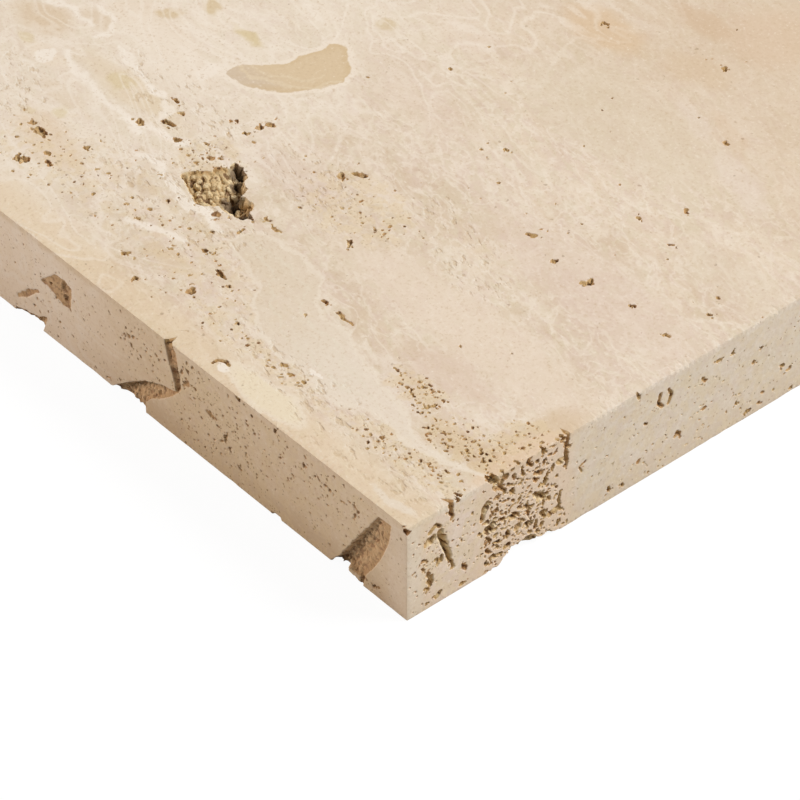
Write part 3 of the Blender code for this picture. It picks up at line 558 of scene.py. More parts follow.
FRONT_BREAKOUTS = (
    # The slanting recess beside the near corner
    (
        (10.4, 26.4, 0.8), (14.0, 20.4, 1.5), (17.2, 15.8, 1.8), (20.2, 11.0, 2.0), (22.4, 7.4, 2.2),
        (25.0, 3.4, 2.6), (28.8, -1.0, 2.8), (21.6, -1.0, 2.2), (21.8, 3.0, 1.9), (17.0, 2.7, 1.1),
        (16.6, -1.0, 0.8), (15.2, 4.6, 0.5), (12.6, 8.6, 0.5), (9.4, 14.0, 0.5), (6.8, 20.8, 0.4),
        (6.0, 26.8, 0.3),
    ),
    # The leaf-shaped spall, with its overhang and the edge missing below it
    (
        (113.6, -1.0, 0.8), (109.4, 2.6, 1.6), (105.5, 5.8, 2.6), (99.0, 10.4, 2.2), (92.5, 13.6, 1.4),
        (86.2, 15.3, 0.4), (88.6, 12.4, 0.5), (93.0, 9.2, 0.8), (97.0, 6.4, 0.9), (99.2, 3.8, 0.8),
        (99.4, -1.0, 0.9), (105.3, -1.0, 2.0),
    ),
    # The crevice that runs down from the top edge
    (
        (90.6, 31.0, 0.9), (89.5, 26.5, 1.1), (88.3, 22.5, 0.9), (87.2, 19.6, 1.0), (86.3, 15.2, 1.0),
        (84.7, 17.4, 1.4), (85.0, 21.4, 1.3), (85.6, 24.4, 0.4), (86.2, 28.0, 0.3), (88.4, 31.0, 0.4),
    ),
    # The corner of the bottom edge that is missing at the far left
    (
        (152.0, -1.0, 1.2), (151.6, 1.2, 1.2), (146.0, 2.8, 1.8), (141.9, 3.6, 2.4), (138.6, 6.0, 0.5),
        (139.8, 2.4, 0.5), (141.6, -1.0, 2.6),
    ),
    # The worn hollow round the pits far along the face
    (
        (140.4, 17.4, 0.2), (138.0, 19.4, 0.3), (134.4, 22.6, 0.4), (130.0, 23.2, 0.5), (127.8, 20.6, 0.5),
        (128.6, 15.4, 0.5), (131.4, 14.6, 0.4), (135.2, 16.4, 0.3),
    ),
    ((50.4, -1.0, 0.3), (49.4, 1.0, 0.8), (47.0, 0.9, 0.8), (46.4, -1.0, 0.3)),
)  # fmt: skip

# The same losses of the bottom edge, cut up from the underside
UNDERSIDE_BREAKOUTS = (
    (
        (-1.0, 30.4, 0.8), (-1.0, 32.8, 3.0), (-1.0, 36.0, 3.8), (-1.0, 39.2, 4.0), (-1.0, 41.8, 1.8),
        (-1.0, 43.6, 1.0), (-1.0, 45.4, 2.0), (-1.0, 47.4, 0.5), (1.4, 45.6, 0.4), (1.8, 42.0, 0.4),
        (3.4, 39.0, 0.8), (3.4, 34.0, 0.8), (1.6, 31.4, 0.4),
    ),
    (
        (16.6, -1.0, 1.0), (28.6, -1.0, 0.6), (25.0, -1.0, 4.0), (25.6, 2.8, 0.8), (19.6, 2.4, 0.8),
        (17.4, 1.0, 0.6),
    ),
    ((105.4, -1.0, 4.0), (113.6, -1.0, 0.5), (109.6, 1.6, 0.5), (106.4, 2.8, 0.8), (105.4, 1.4, 0.8)),
    ((141.4, -1.0, 3.0), (152.0, -1.0, 0.6), (147.6, 1.4, 0.5), (142.8, 2.2, 0.6)),
)  # fmt: skip

# The slanting gouge near the far left: (a, b, width, depth)
FRONT_GROOVES = (((150.6, 5.8, 1.2, 0.3), (146.0, 9.4, 1.9, 0.45), (142.2, 12.4, 1.2, 0.3)),)


# Patches of small pits: (a from, a to, b from, b to, how many, smallest, largest)
SHOWN_PITS = (
    # The beds of the photographed corner of the top
    (60, 190, 14, 40, 150, 0.5, 1.2),
    (60, 130, 5, 18, 20, 0.55, 1.1),
    (145, 185, 13, 31, 40, 0.5, 1.4),
    (128, 147, 45, 61, 80, 0.5, 1.0),
    (80, 116, 58, 80, 60, 0.5, 1.2),
    (116, 162, 58, 76, 12, 0.5, 1.2),
    (26, 46, 30, 39, 50, 0.5, 0.8),
    (0, 26, 24, 36, 110, 0.5, 0.9),
    (0, 12, 32, 50, 44, 0.5, 1.1),
    (0, 40, 12, 21, 50, 0.5, 1.0),
    (36, 104, 11, 18, 34, 0.5, 1.1),
    (0, 130, 84, 132, 22, 0.5, 1.0),
    (60, 170, 100, 145, 10, 0.5, 1.0),
    (30, 130, 140, 200, 12, 0.5, 1.0),
    (0, 110, 40, 90, 8, 0.5, 0.8),
)
# The top outside the photograph
OUTSIDE_PITS = (
    (185, 305, 12, 40, 110, 0.9, 2.6),
    (150, 305, 56, 80, 60, 0.9, 2.4),
    (0, 305, 196, 214, 70, 0.9, 2.6),
    (0, 305, 240, 262, 100, 0.9, 2.8),
    (0, 305, 284, 302, 70, 0.9, 2.6),
    (130, 305, 80, 240, 70, 0.9, 2.0),
)
FRONT_PITS = (
    (10, 60, 16, 30, 60, 0.45, 0.8),
    (0, 60, 2, 30, 40, 0.45, 0.8),
    (56, 84, 2, 30, 130, 0.45, 0.9),
    (84, 112, 6, 30, 60, 0.45, 0.8),
    (112, 160, 0, 30, 50, 0.45, 0.8),
    (160, 305, 0, 30, 80, 0.9, 2.4),
)
RIGHT_PITS = (
    (0, 24, 0, 30, 110, 0.45, 1.0),
    (51, 135, 0, 30, 90, 0.45, 0.8),
    (60, 135, 0, 10, 30, 0.5, 1.1),
    (135, 305, 0, 30, 90, 0.9, 2.4),
)
SIDE_PITS = (
    (0, 305, 0, 30, 130, 0.7, 2.4),
    (60, 130, 4, 26, 40, 0.8, 3.0),
)
UNDERSIDE_PITS = (
    (0, 305, 0, 305, 160, 0.8, 2.6),
    (0, 305, 30, 60, 80, 0.8, 3.0),
    (0, 305, 200, 226, 80, 0.8, 3.0),
)


def hollows(rows, deep):
    """Voids from rows of (a, b, length, width), some with a turn too, each as deep as it is narrow."""
    return [Void(*row[:4], deep * min(row[2:4]), *(row[4:] or (0,))) for row in rows]


def anywhere(a, b):
    return True


def compact(a, b):
    """Whether a place on the top is in the tongue, the clast or the ivory spot, which have no pits."""
    if a < TONGUE_TIP and np.interp(a, *zip(*TONGUE_LOWER)) < b < np.interp(a, *zip(*TONGUE_UPPER)):
        return True
    ovals = (IVORY_SPOT, *((a0, b0, 2 * r + 2, 2 * r + 2, 0) for a0, b0, r in CLAST))
    return any(
        math.hypot((a - a0) * 2 / length, (b - b0) * 2 / width) < 1 for a0, b0, length, width, _ in ovals
    )


def shown(a, b):
    """Whether a place on the top is in the photograph."""
    (a0, b0), (a1, b1) = SHOWN_ENDS
    return (a1 - a0) * (b - b0) - (b1 - b0) * (a - a0) > 0


def pitted(carving, patches, chance, keep_off=(), allowed=anywhere, gap=0.2, spread=0.62):
    """Small voids thrown over patches of a face, thinning out at each patch's border, clear of each other."""
    face = carving.face
    found = []
    taken = {}

    def cell(a, b):
        return int(a / PIT_CELL), int(b / PIT_CELL)

    def neighbours(a, b):
        i, j = cell(a, b)
        return [v for di in (-1, 0, 1) for dj in (-1, 0, 1) for v in taken.get((i + di, j + dj), ())]

    for void in keep_off:
        taken.setdefault(cell(void.a, void.b), []).append(void)
    for a_low, a_high, b_low, b_high, count, smallest, largest in patches:
        for _ in range(count):
            a = (a_low + a_high) / 2 + (a_high - a_low) * (chance.random() + chance.random() - 1) * spread
            b = (b_low + b_high) / 2 + (b_high - b_low) * (chance.random() + chance.random() - 1) * spread
            length = smallest * (largest / smallest) ** (chance.random() ** PIT_LEAN)
            width = max(length * chance.uniform(*PIT_WIDTHS), NARROWEST_PIT)
            depth = width * chance.uniform(*PIT_DEPTHS)
            void = Void(a, b, length, width, depth, chance.uniform(*PIT_TURNS))
            clear = all(
                math.hypot(a - other.a, b - other.b) > (length + max(other.length, other.width)) / 2 + gap
                for other in neighbours(a, b)
            )
            on_face = 0 < a < face.length and 0 < b < face.height and allowed(a, b)
            if clear and on_face and carving.depth[int(b / PIXEL), int(a / PIXEL)] < UNCUT:
                taken.setdefault(cell(a, b), []).append(void)
                found.append(void)
    return found


def carve_all():
    """Every face's carving, from the listed features and the seeded pits."""
    chance = random.Random(SEED)
    carvings = {name: Carving(face, SEED * 20 + n * 10) for n, (name, face) in enumerate(FACES.items())}
    top, underside, front, right = (carvings[name] for name in ("top", "underside", "front", "right"))
    for carving, outlines, ragged in (
        (top, (VUG_RIM,), 1.0),
        (front, FRONT_BREAKOUTS, FRONT_RAGGED),
        (right, RIGHT_BREAKOUTS, 1.0),
        (underside, UNDERSIDE_BREAKOUTS, 1.0),
    ):
        for outline in outlines:
            carving.breakout(outline, ragged)
    for carving, lines in (
        (top, (*VUG_CREVICES, *TOP_GROOVES)),
        (front, FRONT_GROOVES),
        (right, RIGHT_GROOVES),
    ):
        for line in lines:
            carving.groove(line)
    for carving in (top, front, right, underside):
        carving.soften()
    top.crust(VUG_CRUST)
    cells = [
        void._replace(length=void.length * CELL_GROWTH, width=void.width * CELL_GROWTH)
        for void in hollows(SPONGE_CELLS, SPONGE_DEPTH)
    ]
    band = hollows(BAND_PITS, 1.0)
    fringe = [void._replace(depth=void.depth * FRINGE_DEPTH) for void in VUG_FRINGE]
    listed = {
        "top": (*hollows(TOP_VOIDS, TOP_DEEP), *fringe, *band),
        "front": hollows(FRONT_VOIDS, FRONT_DEEP),
        "right": (*hollows(RIGHT_VOIDS, RIGHT_DEEP), *cells),
    }
    for name, voids in listed.items():
        for void in voids:
            carvings[name].void(void)
    for void in pitted(right, SPONGE_PITS, chance, cells, gap=-0.1, spread=0.5):
        right.void(void._replace(depth=void.depth * SPONGE_DEPTH))
    pits = (
        ("top", SHOWN_PITS, listed["top"], lambda a, b: shown(a, b) and not compact(a, b)),
        ("top", OUTSIDE_PITS, listed["top"], lambda a, b: not shown(a, b)),
        ("front", FRONT_PITS, listed["front"], anywhere),
        ("right", RIGHT_PITS, listed["right"], anywhere),
        ("back", SIDE_PITS, (), anywhere),
        ("left", SIDE_PITS, (), anywhere),
        ("underside", UNDERSIDE_PITS, (), anywhere),
    )
    for name, patches, keep_off, allowed in pits:
        for void in pitted(carvings[name], patches, chance, keep_off, allowed):
            carvings[name].void(void)
    for carving in carvings.values():
        carving.roughen()
        carving.find_level()
    return carvings


def below_faces(points, carvings):
    """How far each point is inside the carved stone, or a negative number outside it, in mm."""
    inside = np.full(len(points), np.inf)
    for name, face in FACES.items():
        off = points - face.corner
        depth = -(off @ face.out)
        near = np.flatnonzero(depth < 12)
        cut = carvings[name].at(off[near] @ face.along, off[near] @ face.up)
        inside[near] = np.minimum(inside[near], depth[near] - cut)
    return np.minimum(inside, below_arrises(points))


def below_arrises(points):
    """How far each point is inside the worn arrises, each a narrow chamfer whose width wanders, in mm."""
    inside = np.full(len(points), np.inf)
    depth_in = {name: -((points - face.corner) @ face.out) for name, face in FACES.items()}
    for n, (first, second) in enumerate(ARRISES):
        across = depth_in[first] + depth_in[second]
        near = np.flatnonzero(across < 4)
        run = points[near] @ np.cross(FACES[first].out, FACES[second].out)
        crumble = layered(run, 0 * run, ARRIS_CRUMBLE, SEED + n, step=50)
        worn, crumbled = ARRIS_WEAR.get((first, second), OTHER_WEAR)
        wear = worn + crumbled * np.clip(crumble, 0, 1) ** 1.5
        inside[near] = np.minimum(inside[near], (across[near] - wear) / math.sqrt(2))
    return inside


def sink_directions(points):
    """Straight into the face, turning to the diagonal near an arris, so that no two points cross."""
    way = np.zeros_like(points)
    for face in FACES.values():
        depth = -((points - face.corner) @ face.out)
        way -= np.outer(np.clip(1 - depth / SINK_BLEND, 0, 1), face.out)
    return way / np.linalg.norm(way, axis=1)[:, None]


def finer_block(carvings):
    """A box of the tile's size, cut into triangles that are small where the stone is broken."""
    bm = bmesh.new()
    bmesh.ops.create_cube(bm, size=1.0)
    bmesh.ops.scale(bm, vec=(LENGTH, WIDTH, THICKNESS), verts=bm.verts)
    bmesh.ops.translate(bm, vec=(0, 0, THICKNESS / 2), verts=bm.verts)
    for axis, size in enumerate((LENGTH, WIDTH, THICKNESS)):
        across = [e for e in bm.edges if abs((e.verts[0].co - e.verts[1].co)[axis]) > 1e-3]
        cuts = max(int(size / COARSEST_EDGE), 1)
        bmesh.ops.subdivide_edges(bm, edges=across, cuts=cuts, use_grid_fill=True)
    bmesh.ops.triangulate(bm, faces=bm.faces)
    size = COARSEST_EDGE
    while size > FINEST_EDGE:
        points, ends = places_and_edges(bm)
        start, end = points[ends[:, 0]], points[ends[:, 1]]
        middle, length = (start + end) / 2, np.linalg.norm(end - start, axis=1)
        wanted = np.zeros(len(ends), bool)
        arris = np.zeros(len(ends), int)
        for name, face in FACES.items():
            off = middle - face.corner
            depth = np.abs(off @ face.out)
            arris += depth < size * 0.75
            broken = carvings[name].broken(size)
            step = max(int(round(size / PIXEL)), 1) * PIXEL
            column = np.clip((off @ face.along) / step, 0, broken.shape[1] - 1).astype(int)
            row = np.clip((off @ face.up) / step, 0, broken.shape[0] - 1).astype(int)
            wanted |= (depth < 1e-3) & broken[row, column]
        if size > ARRIS_EDGE:
            wanted |= arris > 1
        wanted &= length > size * EDGE_SLACK
        if size < PLAIN_EDGE:
            wanted &= (middle[:, 0] > LENGTH / 2 - SHOWN_LENGTH) & (middle[:, 1] < SHOWN_WIDTH - WIDTH / 2)
            wanted &= middle[:, 2] > 0.01
        cut_in_half(bm, wanted)
        size /= EDGE_STEP
    return bm


def sunk(points, carvings):
    """Where the points of the plain box lie once each is sunk to the carved stone."""
    way = sink_directions(points)
    points = points.copy()
    high = np.arange(len(points))
    for _ in range(SINK_STEPS):
        outside = -below_faces(points[high], carvings)
        high, outside = high[outside > SINK_NEAR], outside[outside > SINK_NEAR]
        if not len(high):
            break
        points[high] += way[high] * outside[:, None] * SINK_PACE
    return points


def places_and_edges(bm):
    """The mesh's points, and the two points of each edge, as arrays."""
    bm.verts.index_update()
    bm.edges.ensure_lookup_table()
    mesh = bpy.data.meshes.new("measured")
    bm.to_mesh(mesh)
    points, ends = np.empty(len(mesh.vertices) * 3), np.empty(len(mesh.edges) * 2, np.int32)
    mesh.vertices.foreach_get("co", points)
    mesh.edges.foreach_get("vertices", ends)
    bpy.data.meshes.remove(mesh)
    return points.reshape(-1, 3), ends.reshape(-1, 2)


def cut_in_half(bm, wanted):
    edges = [bm.edges[i] for i in np.flatnonzero(wanted)]
    bmesh.ops.subdivide_edges(bm, edges=edges, cuts=1)
    bmesh.ops.triangulate(bm, faces=[f for f in bm.faces if len(f.verts) > 3])


def cut_walls_finer(bm, carvings):
    """Cuts the edges that sinking would stretch down the walls of voids."""
    for _ in range(WALL_ROUNDS):
        points, ends = places_and_edges(bm)
        low = sunk(points, carvings)
        plain = np.linalg.norm(points[ends[:, 0]] - points[ends[:, 1]], axis=1)
        stretched = np.linalg.norm(low[ends[:, 0]] - low[ends[:, 1]], axis=1)
        long = (stretched > WALL_EDGE) & (stretched > plain * WALL_STRETCH)
        cut_in_half(bm, long & (plain > SHORTEST_EDGE))


def thinned(mesh, triangles):
    """The same shape in fewer triangles, the flattest merged first."""
    whole = bpy.data.objects.new("whole", mesh)
    bpy.context.scene.collection.objects.link(whole)
    thin = whole.modifiers.new("thin", "DECIMATE")
    thin.ratio = min(triangles / len(mesh.polygons), 1)
    made = bpy.data.meshes.new_from_object(whole.evaluated_get(bpy.context.evaluated_depsgraph_get()))
    bpy.data.objects.remove(whole)
    bpy.data.meshes.remove(mesh)
    return made


def knobs(points, spacing):
    """How near each point is to the middle of a crystal: 1 at its middle, 0 in the gaps between crystals."""
    cell = np.floor(points / spacing)
    nearest = np.full(len(points), np.inf)
    for step in np.ndindex(3, 3, 3):
        at = cell + np.array(step) - 1
        jitter = [
            0.5 + 0.45 * lumps(at[:, 0] + at[:, 2] * 57.0, at[:, 1] + at[:, 2] * 131.0, 1.0, SEED + 70 + n)
            for n in range(3)
        ]
        middle = (at + np.stack(jitter, 1)) * spacing
        nearest = np.minimum(nearest, np.linalg.norm(points - middle, axis=1))
    return np.sqrt(np.clip(1 - (nearest / (KNOB_RADIUS * spacing)) ** 2, 0, 1))


def crystal_share(points):
    """How thickly the hollows are lined with crystals: fully in the vug, and elsewhere thinly."""
    corner = FACES["top"].corner
    a, b = corner[0] - points[:, 0], points[:, 1] - corner[1]
    vug = np.hypot((a - VUG_CRUST.a) * 2 / VUG_CRUST.length, (b - VUG_CRUST.b) * 2 / VUG_CRUST.width) < 1
    return np.where(vug, 1.0, KNOB_SHARE)


def narrowness(points, hollow, carvings):
    """How far each point lies below the level of the stone round it, in mm."""
    below = np.zeros(len(points))
    for name, face in FACES.items():
        off = points - face.corner
        nearest = -(off @ face.out) < hollow + 0.02
        level = carvings[name].at(off @ face.along, off @ face.up, carvings[name].level)
        below[nearest] = (hollow - level)[nearest]
    return below


def carve_tile():
    """The tile as one mesh, with what its material needs to know of each point."""
    carvings = carve_all()
    bm = finer_block(carvings)
    cut_walls_finer(bm, carvings)
    points = sunk(np.array([v.co for v in bm.verts]), carvings)
    for vert, point in zip(bm.verts, points):
        vert.co = Vector(point)
    bmesh.ops.remove_doubles(bm, verts=bm.verts, dist=0.01)
    bm.normal_update()

    # How deep each point lies inside the box, and the crystals that stand out from there
    points = np.array([v.co for v in bm.verts])
    normals = np.array([v.normal for v in bm.verts])
    hollow = np.min([-(points - face.corner) @ face.out for face in FACES.values()], axis=0)
    worn = np.abs(below_arrises(points)) < SAWN_DEPTH
    knob = knobs(points, KNOB_SPACING)
    out = np.minimum(
        KNOB_HEIGHT * crystal_share(points), np.clip(hollow - KNOB_START, 0, None) * KNOB_SLOPE
    )
    points += normals * (out * (knob - KNOB_MIDDLE))[:, None]
    layers = {
        "hollow": np.where(worn, 0, hollow),
        "crystal": knob,
        "narrow": narrowness(points, hollow, carvings),
    }
    for name in layers:
        bm.verts.layers.float.new(name)
    for name, values in layers.items():
        layer = bm.verts.layers.float[name]
        for vert, value in zip(bm.verts, values):
            vert[layer] = value
    for vert, point in zip(bm.verts, points):
        vert.co = Vector(point) * MM
    mesh = bpy.data.meshes.new("travertine_slab")
    bm.to_mesh(mesh)
    bm.free()
    mesh = thinned(mesh, TRIANGLES)
    mesh.set_sharp_from_angle(angle=math.radians(SHARP_ANGLE))
    # The walls of hollows are shaded smooth, and the sawn faces flat
    depth = np.empty(len(mesh.vertices))
    mesh.attributes["hollow"].data.foreach_get("value", depth)
    corners = np.empty(len(mesh.loops), np.int32)
    mesh.loops.foreach_get("vertex_index", corners)
    mesh.polygons.foreach_set("use_smooth", depth[corners].reshape(-1, 3).max(1) > SAWN_DEPTH)
    slab = bpy.data.objects.new("travertine_slab", mesh)
    bpy.context.scene.collection.objects.link(slab)
    return slab


def view_axes():
    azimuth, elevation = math.radians(VIEW_AZIMUTH), math.radians(VIEW_ELEVATION)
    right = Vector((math.cos(azimuth), math.sin(azimuth), 0))
    back = Vector(
        (
            math.sin(azimuth) * math.cos(elevation),
            -math.cos(azimuth) * math.cos(elevation),
            math.sin(elevation),
        )
    )
    return right, back.cross(right), back


def set_camera():
    right, up, back = view_axes()
    corner = Vector((LENGTH / 2, -WIDTH / 2, THICKNESS))
    camera = bpy.data.objects.new("camera", bpy.data.cameras.new("camera"))
    camera.data.lens = VIEW_LENS
    camera.data.sensor_width = VIEW_SENSOR
    camera.data.clip_end = 20
    place = corner - right * CORNER_RIGHT + up * CORNER_DOWN + back * VIEW_DISTANCE
    camera.matrix_world = Matrix.Translation(place * MM) @ Matrix((right, up, back)).transposed().to_4x4()
    bpy.context.scene.collection.objects.link(camera)
    bpy.context.scene.camera = camera


def linear(hex_colour):
    parts = [int(hex_colour[i : i + 2], 16) / 255 for i in (1, 3, 5)]
    return (*(c / 12.92 if c <= 0.04045 else ((c + 0.055) / 1.055) ** 2.4 for c in parts), 1.0)


def lamp(name, place, power, colour):
    light = bpy.data.lights.new(name, "AREA")
    light.shape = "DISK"
    light.size = LAMP_WIDTH
    light.energy = power
    light.color = linear(colour)[:3]
    obj = bpy.data.objects.new(name, light)
    obj.location = place
    obj.rotation_euler = (-Vector(place)).to_track_quat("-Z", "Y").to_euler()
    bpy.context.scene.collection.objects.link(obj)


def add_node(tree, kind, sources=None, out=0, **settings):
    """Adds a node, sets it up, feeds its inputs from sockets or values, and gives back one of its outputs."""
    node = tree.nodes.new(kind)
    for name, value in settings.items():
        setattr(node, name, value)
    for slot, source in (sources or {}).items():
        if isinstance(source, bpy.types.NodeSocket):
            tree.links.new(source, node.inputs[slot])
        else:
            node.inputs[slot].default_value = linear(source) if isinstance(source, str) else source
    return node if out is None or not len(node.outputs) else node.outputs[out]


def straight_rays(tree):
    """1 for what the camera sees straight, in a reflection or through glass."""
    path = add_node(tree, "ShaderNodeLightPath", out=None)
    camera, mirrored, through = (
        path.outputs[f"Is {kind} Ray"] for kind in ("Camera", "Glossy", "Transmission")
    )
    seen = add_node(tree, "ShaderNodeMath", {0: camera, 1: mirrored}, operation="ADD")
    return add_node(tree, "ShaderNodeMath", {0: seen, 1: through}, operation="ADD", use_clamp=True)


def white_floor():
    """Matt white paper. The camera sees it as plain white, with only a little of the tile's shadow."""
    bm = bmesh.new()
    bmesh.ops.create_grid(bm, x_segments=1, y_segments=1, size=FLOOR_SIZE)
    mesh = bpy.data.meshes.new("studio_floor")
    bm.to_mesh(mesh)
    bm.free()
    floor = bpy.data.objects.new("studio_floor", mesh)
    bpy.context.scene.collection.objects.link(floor)
    material = bpy.data.materials.new("white_paper")
    material.use_nodes = True
    tree = material.node_tree
    tree.nodes.clear()
    paper = add_node(tree, "ShaderNodeBsdfDiffuse", {"Color": FLOOR_PAPER})
    glow = add_node(tree, "ShaderNodeEmission", {"Color": "#FFFFFF", "Strength": FLOOR_GLOW})
    seen = straight_rays(tree)
    share = add_node(tree, "ShaderNodeMath", {0: seen, 1: FLOOR_GLOW_SHARE}, operation="MULTIPLY")
    mixed = add_node(tree, "ShaderNodeMixShader", {0: share, 1: paper, 2: glow})
    add_node(tree, "ShaderNodeOutputMaterial", {"Surface": mixed})
    floor.data.materials.append(material)


def white_world():
    world = bpy.data.worlds.new("studio")
    world.use_nodes = True
    tree = world.node_tree
    tree.nodes.clear()
    seen = straight_rays(tree)
    soft = add_node(tree, "ShaderNodeBackground", {"Color": "#FFFFFF", "Strength": SKY_STRENGTH})
    plain = add_node(tree, "ShaderNodeBackground", {"Color": "#FFFFFF", "Strength": 1.0})
    mixed = add_node(tree, "ShaderNodeMixShader", {0: seen, 1: soft, 2: plain})
    add_node(tree, "ShaderNodeOutputWorld", {"Surface": mixed})
    bpy.context.scene.world = world


class Stone:
    """Lays patterns over one material, on places in millimetres measured from the tile's near corner."""

    def __init__(self, tree):
        self.tree = tree
        self.spaces = {}
        place = self.add("ShaderNodeTexCoord", out="Object")
        place = self.add("ShaderNodeVectorMath", {0: place, "Scale": 1 / MM}, operation="SCALE")
        # a grows along -X, so the place is turned over as well as moved
        self.place = self.add(
            "ShaderNodeVectorMath",
            {0: place, 1: (-1, 1, 1), 2: (LENGTH / 2, WIDTH / 2, 0)},
            operation="MULTIPLY_ADD",
        )
        self.z = self.add("ShaderNodeSeparateXYZ", {0: self.place}, out="Z")
        # Borders are read at wandering places, so that none is a clean line
        self.adrift = self.place
        for size, reach in ((7.0, 5.0), (1.6, 1.3)):
            drift = self.cloud(size, 1, 0.6, out="Color")
            drift = self.add("ShaderNodeVectorMath", {0: drift, 1: (0.5, 0.5, 0.5)}, operation="SUBTRACT")
            self.adrift = self.add(
                "ShaderNodeVectorMath",
                {0: drift, 1: (reach, reach, 0), 2: self.adrift},
                operation="MULTIPLY_ADD",
            )
        self.jagged = self.add(
            "ShaderNodeVectorMath", {0: drift, 1: (1.3, 1.3, 1.3), 2: self.place}, operation="MULTIPLY_ADD"
        )
        flat = self.add("ShaderNodeSeparateXYZ", {0: self.adrift}, out=None)
        self.a, self.b = flat.outputs["X"], flat.outputs["Y"]
        self.on_top = self.ramp(self.z, THICKNESS - 2.5, THICKNESS - 0.8)

    def add(self, kind, sources=None, out=0, **settings):
        return add_node(self.tree, kind, sources, out, **settings)

    def drawn_out(self, stretch):
        """Places for clouds that are drawn out along the slanting beds, far from the noise's own middle."""
        if stretch not in self.spaces:
            self.spaces[stretch] = self.add(
                "ShaderNodeMapping",
                {
                    "Vector": self.place, "Location": NOISE_START, "Rotation": (0, 0, BED_SLANT),
                    "Scale": stretch,
                },
                vector_type="TEXTURE",
            )  # fmt: skip
        return self.spaces[stretch]

    def cloud(self, size, detail, rough, stretch=(1, 1, 1), wander=0.0, out="Fac"):
        """Cloudy noise, 0 to 1, whose lumps are about size mm across."""
        return self.add(
            "ShaderNodeTexNoise",
            {
                "Vector": self.drawn_out(stretch), "Scale": 1 / size, "Detail": detail, "Roughness": rough,
                "Distortion": wander,
            },
            out=out,
        )  # fmt: skip

    def ramp(self, value, low, high, start=0.0, end=1.0):
        """Passes smoothly from start where value is low to end where it is high."""
        return self.add(
            "ShaderNodeMapRange",
            {"Value": value, "From Min": low, "From Max": high, "To Min": start, "To Max": end},
            interpolation_type="SMOOTHSTEP",
            # A smooth step stays between its ends anyway, and each clamp would fill the renderer's stack more
            clamp=False,
        )

    def coat(self, under, colour, value, low, high, strength=1.0, within=None):
        """Lays a colour over another, from none where value is low to its full strength where it is high."""
        share = self.ramp(value, low, high, 0.0, strength)
        if within is not None:
            share = self.add("ShaderNodeMath", {0: share, 1: within}, operation="MULTIPLY")
        return self.add(
            "ShaderNodeMix", {"Factor": share, "A": under, "B": colour}, out="Result", data_type="RGBA"
        )

    def away_from(self, value, level):
        """How far a value is from a level, either way."""
        off = self.add("ShaderNodeMath", {0: value, 1: level}, operation="SUBTRACT")
        return self.add("ShaderNodeMath", {0: off}, operation="ABSOLUTE")

    def patch(self, a, b, length, width, turn=0.0):
        """Distance from the middle of an oval, 1 at its border."""
        turn = math.radians(turn)
        square = None
        for by_a, by_b, half in (
            (math.cos(turn), math.sin(turn), length / 2),
            (-math.sin(turn), math.cos(turn), width / 2),
        ):
            middle = -(a * by_a + b * by_b) / half
            off = self.add("ShaderNodeMath", {0: self.a, 1: by_a / half, 2: middle}, operation="MULTIPLY_ADD")
            off = self.add("ShaderNodeMath", {0: self.b, 1: by_b / half, 2: off}, operation="MULTIPLY_ADD")
            square = self.add("ShaderNodeMath", {0: off, 1: off, 2: square or 0.0}, operation="MULTIPLY_ADD")
        return self.add("ShaderNodeMath", {0: square}, operation="SQRT")

    def mottle(self, colour, size, strength):
        """Clouds of the stone's three shades, pinkish, greenish grey and pale, of one size."""
        clouds = self.cloud(size, 2, 0.55, BEDDED, 0.4, out="Color")
        clouds = self.add("ShaderNodeSeparateColor", {0: clouds}, out=None)
        for name, shade in zip(("Red", "Green", "Blue"), SHADES):
            colour = self.coat(colour, shade, clouds.outputs[name], 0.47, 0.68, strength)
        return colour

    def pores(self, size, share, largest, shift):
        """Pinholes in cells of this size, in the share of the cells that is asked for: 1 in a pinhole."""
        where = self.add(
            "ShaderNodeMapping", {"Vector": self.jagged, "Scale": [1 / size] * 3, "Location": [shift] * 3}
        )
        cell = self.add("ShaderNodeTexVoronoi", {"Vector": where, "Scale": 1.0}, out=None)
        throw = self.add("ShaderNodeSeparateColor", {0: cell.outputs["Color"]}, out="Red")
        missing = self.add("ShaderNodeMath", {0: 1.0, 1: share}, operation="SUBTRACT")
        radius = self.add(
            "ShaderNodeMapRange",
            {
                "Value": throw, "From Min": missing, "From Max": 1.0,
                "To Min": 0.4 * largest / size, "To Max": largest / size,
            },
            clamp=False,
        )  # fmt: skip
        there = self.add("ShaderNodeMath", {0: throw, 1: missing}, operation="GREATER_THAN")
        radius = self.add("ShaderNodeMath", {0: radius, 1: there}, operation="MULTIPLY")
        # 1 at its middle, falling to 0 at its radius
        depth = self.add("ShaderNodeMath", {0: radius, 1: cell.outputs["Distance"]}, operation="SUBTRACT")
        rim = self.add("ShaderNodeMath", {0: radius, 1: 0.6, 2: 0.02}, operation="MULTIPLY_ADD")
        depth = self.add("ShaderNodeMath", {0: depth, 1: rim}, operation="DIVIDE")
        depth = self.add("ShaderNodeMath", {0: depth, 1: there}, operation="MULTIPLY")
        return self.add("ShaderNodeClamp", {0: depth})

    def curve(self, value, points, low, high):
        """A line drawn through (place, height) points, over places from the first to the last."""
        start, end = points[0][0], points[-1][0]
        share = self.add(
            "ShaderNodeMapRange", {"Value": value, "From Min": start, "From Max": end}, clamp=False
        )
        node = self.add("ShaderNodeFloatCurve", {"Value": share}, out=None)
        line = node.mapping.curves[0].points
        spots = [((at - start) / (end - start), (height - low) / (high - low)) for at, height in points]
        line[0].location, line[1].location = spots[0], spots[-1]
        for spot in spots[1:-1]:
            line.new(*spot)
        node.mapping.update()
        return self.add(
            "ShaderNodeMapRange", {"Value": node.outputs[0], "To Min": low, "To Max": high}, clamp=False
        )

